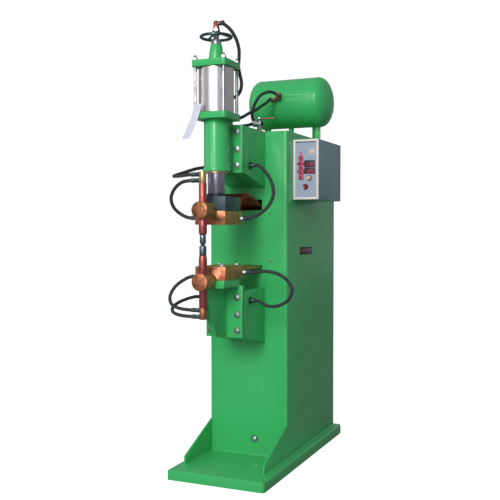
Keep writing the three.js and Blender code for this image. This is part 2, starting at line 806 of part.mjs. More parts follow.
function ballValve() {
  const body = bar([valveElbowX, valveY, valveZ], [valveX + 11, valveY, valveZ], 11, 16);
  const foot = bar([valveX, valveY, columnTop + seat], [valveX, valveY, valveZ], 9, 12);
  const nozzle = bar([valveElbowX, valveY - 8, valveZ], [valveElbowX, valveNozzleY, valveZ], 8, 12);
  const stem = bar([valveX, valveY, valveZ], [valveX, valveY, leverZ + 6], 4, 12);
  const pipe = hoseAlong([
    [valveElbowX, valveY, valveZ], [valveElbowX, valveY - 16, valveZ - 3], [4, face - 36, columnTop + 20],
    [-24, face - 70, columnTop + 15], [-46, face - 98, columnTop + 15],
    [-46, solenoidRear + seat, columnTop + 15],
  ]);
  return join(body, foot, nozzle, stem, pipe);
}

function valveLever() {
  const grip = block([valveX + 6, valveX + 62], [valveY - 6, valveY + 6], [leverZ, leverZ + 4]);
  const eye = bar([valveX, valveY, leverZ], [valveX, valveY, leverZ + 4], 11, 16);
  const hole = bar([valveX, valveY, leverZ - 1], [valveX, valveY, leverZ + 5], 4 + running, 16);
  return cut(join(grip, eye), hole);
}

function solenoidValve() {
  const body = block([-62, -14], [face - 186, solenoidRear], [columnTop + seat, columnTop + 50]);
  const coil = block([-58, -24], [face - 180, face - 146], [columnTop + 49, columnTop + 84]);
  const port = bar([solenoidPort[0], solenoidPort[1], columnTop + 49], solenoidPort, 7, 12);
  const inlet = bar([solenoidInlet[0], solenoidRear - 2, solenoidInlet[2]], solenoidInlet, 7, 12);
  return join(body, coil, port, inlet);
}

// ---------------------------------------------------------------- control box

function controlCase() {
  const [x0, x1] = [controlX, controlX + controlWidth];
  const [y0, y1] = [panelY + panelThickness + seat, panelY + controlDepth];
  const [z0, z1] = [controlTop - controlHeight, controlTop];
  const outer = block([x0, x1], [y0, y1], [z0, z1]);
  const inner = block([x0 + controlWall, x1 - controlWall], [y0 - 1, y1 - controlWall],
    [z0 + controlWall, z1 - controlWall]);
  return cut(outer, inner);
}

const keyX = controlX + 30.5;
const keyTopZ = controlTop - 68.5;
const keySize = [18, 16.5];
const knobPlace = [controlX + 63.5, controlTop - 143];
const buttonPlace = [controlX + 48.5, controlTop - 176];
const knobRadius = 8;
const knobShaft = 4;
const buttonRadius = 9;
const keyPlaces = Array.from({ length: keyCount }, (_, i) => [keyX, keyTopZ - i * keyPitch]);

function through(x, z, radius) {
  return bar([x, panelY - 5, z], [x, panelY + panelThickness + 5, z], radius, 20);
}

function controlPanel() {
  const plate = block([controlX, controlX + controlWidth], [panelY, panelY + panelThickness],
    [controlTop - controlHeight, controlTop]);
  const [halfX, halfZ] = keySize.map((size) => size / 2 + running);
  const keyHoles = keyPlaces.map(([x, z]) => block(
    [x - halfX, x + halfX], [panelY - 1, panelY + panelThickness + 1], [z - halfZ, z + halfZ]));
  return cut(plate, ...keyHoles, through(...knobPlace, knobShaft + running),
    through(...buttonPlace, buttonRadius + running));
}

function panelKey([x, z]) {
  const [halfX, halfZ] = keySize.map((size) => size / 2);
  return block([x - halfX, x + halfX], [panelY - 5, panelY + panelThickness + 3], [z - halfZ, z + halfZ]);
}

function controlKnob() {
  const [x, z] = knobPlace;
  return join(
    bar([x, panelY - 1, z], [x, panelY - 15, z], knobRadius, 24),
    bar([x, panelY - 2, z], [x, panelY + panelThickness + 6, z], knobShaft, 12));
}

function redButton() {
  const [x, z] = buttonPlace;
  return bar([x, panelY - 9, z], [x, panelY + panelThickness + 4, z], buttonRadius, 24);
}

// ---------------------------------------------------------------- hoses

// Each route starts and ends square to its fitting, a small gap clear of it.
const side = armWidth / 2;
const armHole = side + grommetHeight + seat;
const holderEnd = holderHalf + nippleLength + seat;
const capEnd = -waterCapReach - seat;
const plateRear = ramY + cylinderHalf;

function between(from, to, share) {
  return from + share * (to - from);
}

function clearOf([x, y, z], [dx, dy, dz]) {
  return [x + seat * dx, y + seat * dy, z + seat * dz];
}

function upperRightRoute() {
  const { y, z } = upperNozzle;
  const climb = (share) => between(z, upperGrommetZ, share);
  return [
    [holderEnd, y, z], [side + 16, y, z],
    [side + 44, face - 184, climb(0.05)], [side + 76, face - 174, climb(0.18)],
    [side + 96, face - 166, climb(0.36)], [side + 98, face - 160, climb(0.52)],
    [side + 86, face - 153, climb(0.7)], [side + 62, face - 145, climb(0.87)],
    [side + 30, grommetY, upperGrommetZ], [armHole, grommetY, upperGrommetZ],
  ];
}

function lowerRightRoute() {
  const { y, z } = lowerNozzle;
  return [
    [holderEnd, y, z], [side + 30, y, z],
    [side + 72, face - 167, z + 4], [side + 118, face - 164, z - 5], [side + 150, face - 160, z - 26],
    [side + 166, face - 156, lowerGrommetZ + 46], [side + 152, face - 152, lowerGrommetZ + 10],
    [side + 110, face - 146, lowerGrommetZ - 14], [side + 68, face - 141, lowerGrommetZ - 16],
    [side + 30, grommetY, lowerGrommetZ], [armHole, grommetY, lowerGrommetZ],
  ];
}

function upperFeedRoute() {
  const z = upperNipples[0];
  const climb = (share) => between(z, upperGrommetZ, share);
  return [
    [capEnd, electrodeY, z], [-48, electrodeY, z],
    [-side - 20, electrodeY + 4, z - 3], [-side - 52, electrodeY + 24, z - 2],
    [-side - 66, electrodeY + 66, climb(0.12)], [-side - 62, electrodeY + 124, climb(0.44)],
    [-side - 48, electrodeY + 180, climb(0.79)],
    [-side - 30, grommetY, upperGrommetZ], [-armHole, grommetY, upperGrommetZ],
  ];
}

function upperLinkRoute() {
  const z = upperNipples[1];
  return [
    [capEnd, electrodeY, z], [-50, electrodeY, z],
    [-92, electrodeY + 16, z - 6], [-128, electrodeY + 32, z - 29], [-146, electrodeY + 46, z - 59],
    [-142, electrodeY + 60, upperLinkZ + 34], [-120, linkY - 2, upperLinkZ + 10],
    [-92, linkY, upperLinkZ], [-holderEnd, linkY, upperLinkZ],
  ];
}

function lowerLinkRoute() {
  const z = lowerNipples[0];
  return [
    [-holderEnd, linkY, lowerLinkZ], [-88, linkY, lowerLinkZ],
    [-114, face - 299, lowerLinkZ - 13], [-139, face - 312, lowerLinkZ - 36],
    [-150, face - 327, lowerLinkZ - 68], [-136, face - 342, z + 14], [-102, electrodeY + 14, z + 3],
    [-56, electrodeY, z], [capEnd, electrodeY, z],
  ];
}

function lowerFeedRoute() {
  const z = lowerNipples[1];
  return [
    [capEnd, electrodeY, z], [-54, electrodeY, z],
    [-side - 20, electrodeY + 4, z + 2], [-side - 52, electrodeY + 16, z + 9],
    [-side - 68, electrodeY + 40, z + 22], [-side - 64, electrodeY + 70, z + 36],
    [-side - 48, electrodeY + 112, lowerGrommetZ + 10], [-side - 36, electrodeY + 160, lowerGrommetZ + 14],
    [-side - 32, electrodeY + 205, lowerGrommetZ + 6],
    [-side - 28, grommetY, lowerGrommetZ], [-armHole, grommetY, lowerGrommetZ],
  ];
}

function cylinderRoute() {
  const [portAcross, portAlong, portTop] = solenoidPort;
  return [
    [elbowReach + seat, ramY, elbowZ], [22, ramY, elbowZ],
    [42, ramY + 19, elbowZ - 17], [54, ramY + 43, elbowZ - 45], [57, plateRear - 2, elbowZ - 80],
    [52, plateRear + 9, upperPlateZ + 42], [48, plateRear + 14, upperPlateZ + 18],
    [53, plateRear + 15, upperPlateZ - 12], [59, plateRear + 15, upperPlateZ - 39],
    [53, plateRear + 19, upperPlateZ - 66], [32, plateRear + 29, upperPlateZ - 83],
    [-4, portAlong - 21, portTop + 40], [portAcross, portAlong, portTop + 26],
    clearOf(solenoidPort, [0, 0, 1]),
  ];
}

function tankValveRoute() {
  const [x, y, z] = upperTeeNozzle;
  return [
    clearOf(upperTeeNozzle, [0, -1, 0]), [x, y - 12, z],
    [-28, y - 34, z + 6], [-52, y - 66, z - 8], [-60, y - 109, z - 44],
    [-52, face + 165, valveZ + 72], [-32, face + 118, valveZ + 35], [-6, face + 86, valveZ + 11],
    [valveElbowX, valveNozzleY + 18, valveZ], [valveElbowX, valveNozzleY + seat, valveZ],
  ];
}

function tankSolenoidRoute() {
  const [x, y, z] = lowerTeeNozzle;
  return [
    clearOf(lowerTeeNozzle, [0, -1, 0]), [x, y - 14, z],
    [-44, y - 44, z - 19], [-47, y - 84, z - 36], [-42, y - 134, z - 54],
    [-34, face + 130, valveZ + 65], [-24, face + 60, valveZ + 46], [-12, face - 10, valveZ + 26],
    [-14, face - 60, valveZ + 10], [solenoidInlet[0], solenoidInlet[1] + 20, solenoidInlet[2]],
    clearOf(solenoidInlet, [0, 1, 0]),
  ];
}

const hoseRoutes = {
  hose_upper_right: upperRightRoute(),
  hose_lower_right: lowerRightRoute(),
  hose_upper_feed: upperFeedRoute(),
  hose_upper_link: upperLinkRoute(),
  hose_lower_link: lowerLinkRoute(),
  hose_lower_feed: lowerFeedRoute(),
  hose_cylinder: cylinderRoute(),
  hose_tank_valve: tankValveRoute(),
  hose_tank_solenoid: tankSolenoidRoute(),
};

// ---------------------------------------------------------------- assembly

add('base_plate', basePlate(), 'greenPaint');
add('column_shell', columnShell(), 'greenPaint');
add('rear_cover', rearCover(), 'greenPaint');
add('earth_bolt', earthBolt(), 'brightSteel');
add('upper_arm', armBox(columnTop, upperArmFrontZ, upperGrommetZ), 'greenPaint');
add('lower_arm', armBox(lowerArmTop, lowerArmFrontZ, lowerGrommetZ), 'greenPaint');

add('head_casting', headCasting(), 'greenPaint');
add('guide_bush', guideBush(), 'brass');
add('ram', ram(), 'brightSteel');
add('piston', piston(), 'aluminium');
add('cylinder_lower_plate', cylinderPlateAt(lowerPlateZ, rodRadius + running), 'greenPaint');
add('cylinder_barrel', barrel(), 'aluminium');
add('cylinder_upper_plate', upperCylinderPlate(), 'greenPaint');
tieRodPlaces.forEach((place, i) => add(`tie_rod_${i + 1}`, tieRod(place), 'brightSteel'));
add('adjuster_collar', adjusterCollar(), 'darkSteel');
add('adjuster_stem', adjusterStem(), 'darkSteel');
add('handwheel', handwheel(), 'brightSteel');
add('air_elbow', airElbow(), 'copper');

add('ram_foot', ramFoot(), 'insulator');
add('upper_holder', upperHolder(), 'copper');
add('upper_clamp_cap', clampCap(upperBossZ), 'copper');
add('upper_electrode', electrodeRod(upperRodZ, upperRodZ + upperRodLength, upperBossZ, upperTip), 'copper');
add('upper_tip', electrodeTip(-1, upperTip), 'darkSteel');
add('upper_water_cap', waterCap(upperCapZ, upperNipples), 'brass');
add('lower_bracket', lowerBracket(), 'greenPaint');
add('lower_holder', lowerHolder(), 'copper');
add('lower_clamp_cap', clampCap(lowerBossZ), 'copper');
add('lower_electrode', electrodeRod(lowerRodZ + lowerRodLength, lowerRodZ, lowerBossZ, lowerTip), 'copper');
add('lower_tip', electrodeTip(1, lowerTip), 'darkSteel');
add('lower_water_cap', waterCap(lowerCapZ, lowerNipples), 'brass');

add('shunt', shunt(), 'copper');
add('bus_bar', busBar(), 'copper');
add('transformer_core', transformerCore(), 'darkSteel');
add('transformer_coil', transformerCoil(), 'winding');

add('air_tank', airTank(), 'greenPaint');
add('tank_tee', tankTee(), 'brass');
add('ball_valve', ballValve(), 'brightSteel');
add('valve_lever', valveLever(), 'redPlastic');
add('solenoid_valve', solenoidValve(), 'aluminium');

add('control_case', controlCase(), 'greyPaint');
add('control_panel', controlPanel(), 'panelPaint');
keyPlaces.forEach((place, i) => add(`panel_key_${i + 1}`, panelKey(place), 'redPlastic'));
add('control_knob', controlKnob(), 'amberPlastic');
add('start_button', redButton(), 'redPlastic');

for (const [name, route] of Object.entries(hoseRoutes)) add(name, hoseAlong(route), 'hoseRubber');

export default group;
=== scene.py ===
"""Pneumatic pedestal spot welder: what shows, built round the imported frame.

Everything is in metres in the frame's axes: +X to the machine's right seen from the front,
+Y from the electrodes to the rear, +Z up, with the origin on the floor under the base plate.
"""

import logging
import math
from dataclasses import dataclass
from enum import Enum
from typing import Callable, Optional, Sequence, Union

import bmesh
import bpy
from mathutils import Matrix, Vector


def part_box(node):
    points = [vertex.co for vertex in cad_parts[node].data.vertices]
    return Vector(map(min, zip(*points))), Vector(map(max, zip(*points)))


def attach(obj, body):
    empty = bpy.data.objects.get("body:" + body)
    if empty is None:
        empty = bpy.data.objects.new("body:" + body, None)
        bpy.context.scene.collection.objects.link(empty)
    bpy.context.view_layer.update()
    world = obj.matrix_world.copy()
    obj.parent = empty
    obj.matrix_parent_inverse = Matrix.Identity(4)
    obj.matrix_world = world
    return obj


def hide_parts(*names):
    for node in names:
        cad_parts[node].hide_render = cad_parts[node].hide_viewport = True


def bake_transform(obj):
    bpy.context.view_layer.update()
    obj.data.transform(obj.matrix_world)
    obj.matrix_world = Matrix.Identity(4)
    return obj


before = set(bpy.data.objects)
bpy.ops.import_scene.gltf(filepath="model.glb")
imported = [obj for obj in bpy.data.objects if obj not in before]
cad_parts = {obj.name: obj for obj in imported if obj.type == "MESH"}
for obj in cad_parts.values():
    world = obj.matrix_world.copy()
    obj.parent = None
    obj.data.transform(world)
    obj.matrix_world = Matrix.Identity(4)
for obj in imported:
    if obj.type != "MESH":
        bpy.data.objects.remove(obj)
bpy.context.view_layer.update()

LOG = logging.getLogger("spot_welder")
MM = 0.001

Colour = tuple[float, float, float, float]
Point = tuple[float, float, float]
Test = Callable[[Vector], bool]


class Axis(Enum):
    """The direction a turned piece's height runs in."""

    X = Vector((1, 0, 0))
    Y = Vector((0, 1, 0))
    Z = Vector((0, 0, 1))
    FRONT = Vector((0, -1, 0))
    LEFT = Vector((-1, 0, 0))


class Datum:
    """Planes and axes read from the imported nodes, which the added pieces are placed by."""

    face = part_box("upper_arm")[1].y + 0.3 * MM
    flange_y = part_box("column_shell")[0].y + 8 * MM
    column_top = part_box("column_shell")[1].z
    column_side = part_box("control_case")[0].x - 0.3 * MM
    ram_y = (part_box("ram")[0].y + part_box("ram")[1].y) / 2
    electrode_y = (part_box("upper_tip")[0].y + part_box("upper_tip")[1].y) / 2


def at_face(x: float, y: float, z: float) -> Vector:
    """A point given in millimetres, with y counted from the column's front face."""
    return Vector((x * MM, Datum.face + y * MM, z * MM))


# ---------------------------------------------------------------- shader graph


class Value:
    """A shader socket that takes part in arithmetic."""

    def __init__(self, graph: "Graph", socket: bpy.types.NodeSocket) -> None:
        """Holds the socket and the graph it lives in."""
        self.graph = graph
        self.socket = socket

    def _math(self, operation: str, left: "Feed", right: "Feed") -> "Value":
        """One Math node on two inputs."""
        return self.graph.node("ShaderNodeMath", {"operation": operation}, {0: left, 1: right})

    def __add__(self, other: "Feed") -> "Value":
        """self + other."""
        return self._math("ADD", self, other)

    def __radd__(self, other: "Feed") -> "Value":
        """other + self."""
        return self._math("ADD", other, self)

    def __sub__(self, other: "Feed") -> "Value":
        """self - other."""
        return self._math("SUBTRACT", self, other)

    def __rsub__(self, other: "Feed") -> "Value":
        """other - self."""
        return self._math("SUBTRACT", other, self)

    def __mul__(self, other: "Feed") -> "Value":
        """self * other."""
        return self._math("MULTIPLY", self, other)

    def __rmul__(self, other: "Feed") -> "Value":
        """other * self."""
        return self._math("MULTIPLY", other, self)

    def __truediv__(self, other: "Feed") -> "Value":
        """self / other."""
        return self._math("DIVIDE", self, other)

    def either(self, other: "Feed") -> "Value":
        """The larger of the two."""
        return self._math("MAXIMUM", self, other)


Feed = Union[Value, float, Sequence[float]]


class Graph:
    """One material's node tree."""

    def __init__(self, name: str) -> None:
        """Starts an empty tree in a new material.

        Args:
            name: the material's name.
        """
        self.material = bpy.data.materials.new(name)
        self.material.use_nodes = True
        self.tree = self.material.node_tree
        self.tree.nodes.clear()

    def node(self, kind: str, settings: Optional[dict] = None, inputs: Optional[dict] = None,
             output: Union[int, str] = 0) -> Value:
        """Adds a node.

        Args:
            kind: the node's type.
            settings: its properties, set before its sockets.
            inputs: values or links, by socket name or number.
            output: the socket that is handed back.

        Returns:
            The chosen output as a Value.
        """
        made = self.tree.nodes.new(kind)
        for key, value in (settings or {}).items():
            setattr(made, key, value)
        for key, value in (inputs or {}).items():
            if isinstance(value, Value):
                self.tree.links.new(value.socket, made.inputs[key])
            else:
                made.inputs[key].default_value = value
        return Value(self, made.outputs[output])

    def place(self, stretch: Point = (1, 1, 1)) -> Value:
        """Object coordinates, stretched along each axis."""
        position = self.node("ShaderNodeTexCoord", output="Object")
        return self.node("ShaderNodeMapping", {}, {"Vector": position, "Scale": stretch})

    def height(self) -> Value:
        """The height above the floor."""
        position = self.node("ShaderNodeTexCoord", output="Object")
        return self.node("ShaderNodeSeparateXYZ", {}, {0: position}, "Z")

    def noise(self, scale: float, detail: float = 3, stretch: Point = (1, 1, 1)) -> Value:
        """Soft noise from about 0 to 1, with scale in turns per metre."""
        return self.node("ShaderNodeTexNoise", {}, {
            "Vector": self.place(stretch), "Scale": scale, "Detail": detail})

    def band(self, value: Value, low: float, high: float) -> Value:
        """0 at low rising smoothly to 1 at high, either way round."""
        inputs = {"Value": value, "From Min": low, "From Max": high}
        return self.node("ShaderNodeMapRange", {"interpolation_type": "SMOOTHSTEP"}, inputs)

    def edge(self) -> Value:
        """1 on the bevelled edges of a piece and 0 elsewhere."""
        return self.node("ShaderNodeAttribute", {"attribute_name": "edge"}, {}, "Fac")

    def mix(self, mask: Feed, first: Feed, second: Feed) -> Value:
        """Colours mixed by a mask."""
        return self.node("ShaderNodeMix", {"data_type": "RGBA"}, {0: mask, 6: first, 7: second}, 2)

    def bump(self, height: Value, depth: float, strength: float = 1.0) -> Value:
        """A normal from a height, with depth in metres."""
        return self.node("ShaderNodeBump", {}, {
            "Height": height, "Distance": depth, "Strength": strength})

    def surface(self, inputs: dict) -> bpy.types.Material:
        """Ends the tree in a Principled shader and hands back the material.

        Args:
            inputs: the shader's inputs, by socket name.

        Returns:
            The finished material.
        """
        shader = self.node("ShaderNodeBsdfPrincipled", {}, inputs)
        out = self.tree.nodes.new("ShaderNodeOutputMaterial")
        self.tree.links.new(shader.socket, out.inputs["Surface"])
        return self.material


# ---------------------------------------------------------------- finishes


def tone(red: float, green: float, blue: float) -> Colour:
    """A linear colour from 0..255 display values.

    Args:
        red: 0 to 255.
        green: 0 to 255.
        blue: 0 to 255.

    Returns:
        The colour that a shader takes.
    """
    def linear(part: float) -> float:
        share = part / 255
        return share / 12.92 if share <= 0.04045 else ((share + 0.055) / 1.055) ** 2.4
    return (linear(red), linear(green), linear(blue), 1.0)


@dataclass(frozen=True)
class Finish:
    """What every finish has: a name, a slot and a material made once."""

    name: str
    slot: str

    def material(self) -> bpy.types.Material:
        """The finish's material, made the first time it is asked for."""
        return bpy.data.materials.get(self.name) or self.make(Graph(self.name))

    def make(self, graph: Graph) -> bpy.types.Material:
        """Builds the node tree; each finish has its own."""
        raise NotImplementedError


@dataclass(frozen=True)
class Enamel(Finish):
    """Sprayed machine enamel: slight mottling, orange peel, dust low down and chips on edges."""

    colour: Colour
    shade: Colour
    gloss: float = 0.3
    coat: float = 0.35
    dust: float = 0.16

    def make(self, graph: Graph) -> bpy.types.Material:
        """Mixes two tones of paint, then dust and chipped edges over them.

        Args:
            graph: the empty tree to build in.

        Returns:
            The finished material.
        """
        cloud = graph.band(graph.noise(3.2, 4), 0.35, 0.7)
        fine = graph.band(graph.noise(38, 5), 0.4, 0.75)
        paint = graph.mix(cloud * 0.45 + fine * 0.15, self.colour, self.shade)
        low = graph.band(graph.height(), 0.16, 0.0)
        settled = low * graph.band(graph.noise(26, 6), 0.38, 0.7) * self.dust
        dusty = graph.mix(settled, paint, tone(122, 140, 118))
        streaks = graph.band(graph.noise(9, 5, (6, 6, 0.35)), 0.6, 0.82) * 0.1
        grimy = graph.mix(streaks, dusty, tone(34, 74, 50))
        chips = graph.edge() * graph.band(graph.noise(150, 4), 0.6, 0.66)
        colour = graph.mix(chips * 0.45, grimy, tone(88, 104, 96))
        peel = graph.noise(420, 2) * 0.7 + graph.noise(60, 2)
        return graph.surface({
            "Base Color": colour,
            "Roughness": fine * 0.1 + settled * 0.35 + chips * 0.2 + self.gloss,
            "Coat Weight": self.coat, "Coat Roughness": 0.14, "Specular IOR Level": 0.3,
            "Normal": graph.bump(peel, 0.00007, 0.4)})


@dataclass(frozen=True)
class Metal(Finish):
    """Bare metal with a grain along one axis, tarnish in patches and worn bright edges."""

    colour: Colour
    tarnish: Colour
    rough: float = 0.25
    patches: float = 0.4
    grain: Point = (1, 1, 1)
    depth: float = 0.00003
    metallic: float = 1.0

    def make(self, graph: Graph) -> bpy.types.Material:
        """Mixes metal and tarnish, and lays the grain into roughness and bump.

        Args:
            graph: the empty tree to build in.

        Returns:
            The finished material.
        """
        patch = graph.band(graph.noise(34, 6), 0.42, 0.68)
        speck = graph.band(graph.noise(240, 4), 0.5, 0.72)
        mask = patch * self.patches + speck * (0.45 * self.patches)
        worn = mask * (1 - graph.edge() * 0.7)
        lines = graph.noise(700, 3, self.grain)
        return graph.surface({
            "Base Color": graph.mix(worn, self.colour, self.tarnish),
            "Metallic": self.metallic,
            "Roughness": lines * 0.14 + worn * 0.3 + self.rough,
            "Normal": graph.bump(lines, self.depth, 0.8)})


@dataclass(frozen=True)
class Rubber(Finish):
    """Smooth black rubber with a faint bloom and fine pores."""

    colour: Colour
    bloom: Colour

    def make(self, graph: Graph) -> bpy.types.Material:
        """Lays a pale bloom over black and pores into the bump.

        Args:
            graph: the empty tree to build in.

        Returns:
            The finished material.
        """
        bloom = graph.band(graph.noise(45, 5), 0.45, 0.8)
        pores = graph.noise(900, 2)
        return graph.surface({
            "Base Color": graph.mix(bloom * 0.5, self.colour, self.bloom),
            "Roughness": bloom * 0.15 + 0.28,
            "Specular IOR Level": 0.26,
            "Normal": graph.bump(pores, 0.00012, 0.35)})


@dataclass(frozen=True)
class Plastic(Finish):
    """Moulded plastic or resin, with a fine texture and handling marks; it may glow."""

    colour: Colour
    shade: Colour
    gloss: float = 0.3
    coat: float = 0.0
    glow: float = 0.0
    texture: float = 0.00005

    def make(self, graph: Graph) -> bpy.types.Material:
        """Mixes two tones and a fine moulded texture.

        Args:
            graph: the empty tree to build in.

        Returns:
            The finished material.
        """
        cloud = graph.band(graph.noise(60, 5), 0.35, 0.75)
        marks = graph.band(graph.noise(180, 5, (1, 1, 0.2)), 0.58, 0.75)
        return graph.surface({
            "Base Color": graph.mix(cloud * 0.6, self.colour, self.shade),
            "Roughness": marks * 0.15 + self.gloss,
            "Coat Weight": self.coat,
            "Emission Color": self.colour, "Emission Strength": self.glow,
            "Normal": graph.bump(graph.noise(800, 2), self.texture, 0.6)})


@dataclass(frozen=True)
class Winding(Finish):
    """Layers of varnished conductor: ribs along one axis under a brown lacquer."""

    colour: Colour
    gap: Colour

    def make(self, graph: Graph) -> bpy.types.Material:
        """Ribs from a wave along the height.

        Args:
            graph: the empty tree to build in.

        Returns:
            The finished material.
        """
        turns = graph.node("ShaderNodeTexWave", {"bands_direction": "Z"}, {
            "Vector": graph.place(), "Scale": 90.0, "Distortion": 0.6, "Detail": 2.0}, "Fac")
        return graph.surface({
            "Base Color": graph.mix(turns, self.gap, self.colour),
            "Roughness": 0.35, "Coat Weight": 0.4,
            "Normal": graph.bump(turns, 0.0008, 0.8)})


GREEN = Enamel("green_enamel", "green_paint", tone(62, 184, 104), tone(53, 171, 94), 0.3, 0.3)
GREY = Enamel("blue_grey_enamel", "grey_paint", tone(117, 149, 158), tone(104, 135, 145), gloss=0.34,
              coat=0.2, dust=0.0)
STEEL = Metal("zinc_steel", "bright_steel", tone(196, 198, 202), tone(112, 124, 128), 0.26, 0.5)
NUT_STEEL = Metal("dull_steel", "bright_steel", tone(158, 172, 162), tone(92, 110, 104), 0.32, 0.5)
DARK_STEEL = Metal("oily_steel", "dark_steel", tone(112, 134, 140), tone(58, 72, 78), 0.26, 0.5,
                   (1, 1, 0.08))
CHROME = Metal("ground_chrome", "chrome", tone(176, 172, 192), tone(140, 136, 154), 0.2, 0.08,
               (1, 1, 0.02), 0.000003)
WHEEL_CHROME = Metal("smoked_chrome", "chrome", tone(96, 118, 120), tone(36, 50, 52), 0.2, 0.4)
BARREL = Metal("drawn_aluminium", "polished_aluminium", tone(222, 214, 216), tone(204, 196, 200),
               0.27, 0.1, (1, 1, 0.01), 0.000003)
CAST_ALUMINIUM = Metal("cast_aluminium", "aluminium", tone(170, 174, 180), tone(120, 124, 130), 0.38,
                       0.5, (1, 1, 1), 0.0001)
COPPER = Metal("machined_copper", "copper", tone(208, 128, 96), tone(112, 88, 62), 0.36, 0.9,
               (0.1, 1, 1), 0.00004)
AGED_COPPER = Metal("aged_copper", "copper", tone(190, 158, 104), tone(138, 128, 84), 0.42, 0.7,
                    (1, 0.3, 1), 0.00002)
ELBOW_COPPER = Metal("brown_copper", "copper", tone(166, 110, 92), tone(100, 58, 50), 0.3, 0.6,
                     (1, 1, 1), 0.00004)
ROD_COPPER = Metal("drawn_copper", "copper", tone(186, 100, 99), tone(138, 64, 66), 0.36, 0.35,
                   (1, 1, 0.05), 0.00001)
LEAF_COPPER = Metal("leaf_copper", "copper", tone(206, 80, 72), tone(124, 42, 38), 0.32, 0.6,
                    (1, 0.1, 0.1), 0.00005)
BRASS = Metal("turned_brass", "brass", tone(226, 184, 140), tone(166, 118, 82), 0.28, 0.35,
              (1, 1, 0.1), 0.00003)
HOSE = Rubber("hose_rubber", "hose_rubber", tone(5, 12, 15), tone(18, 30, 34))
RESIN = Plastic("teal_resin", "insulator", tone(40, 72, 82), tone(28, 52, 60), 0.42)
RED = Plastic("red_plastic", "red_plastic", tone(168, 26, 70), tone(122, 16, 48), 0.25, 0.3)
DEEP_RED = Plastic("deep_red_plastic", "red_plastic", tone(130, 16, 52), tone(96, 12, 40), 0.3, 0.3)
LEVER_RED = Plastic("dipped_red", "red_plastic", tone(184, 84, 76), tone(156, 66, 60), 0.35, 0.2)
AMBER = Plastic("amber_plastic", "amber_plastic", tone(232, 184, 160), tone(214, 158, 128), 0.25, 0.4)
FILM = Plastic("panel_film", "panel_paint", tone(158, 170, 190), tone(146, 158, 180), 0.42)
TRIM = Enamel("pale_frame", "panel_paint", tone(232, 224, 218), tone(222, 212, 204), 0.4, 0.1, 0.0)
BLACK = Plastic("black_plastic", "insulator", tone(22, 24, 32), tone(12, 14, 20), 0.5)
DIGITS = Plastic("lit_red", "red_plastic", tone(214, 30, 88), tone(196, 20, 76), 0.4, 0.0, 0.35)
PLATE_RED = Plastic("plate_red", "red_plastic", tone(112, 28, 52), tone(84, 22, 40), 0.35, 0.2)
PAPER = Plastic("tag_film", "panel_paint", tone(212, 212, 226), tone(192, 194, 212), 0.45)
CORE = Winding("core_laminations", "dark_steel", tone(84, 88, 92), tone(46, 50, 54))
COIL = Winding("varnished_winding", "winding", tone(150, 84, 40), tone(84, 42, 18))
RUST = Metal("rusty_screw", "dark_steel", tone(150, 106, 74), tone(96, 58, 38), 0.5, 0.8,
             (1, 1, 1), 0.0001, 0.6)


# ---------------------------------------------------------------- meshes


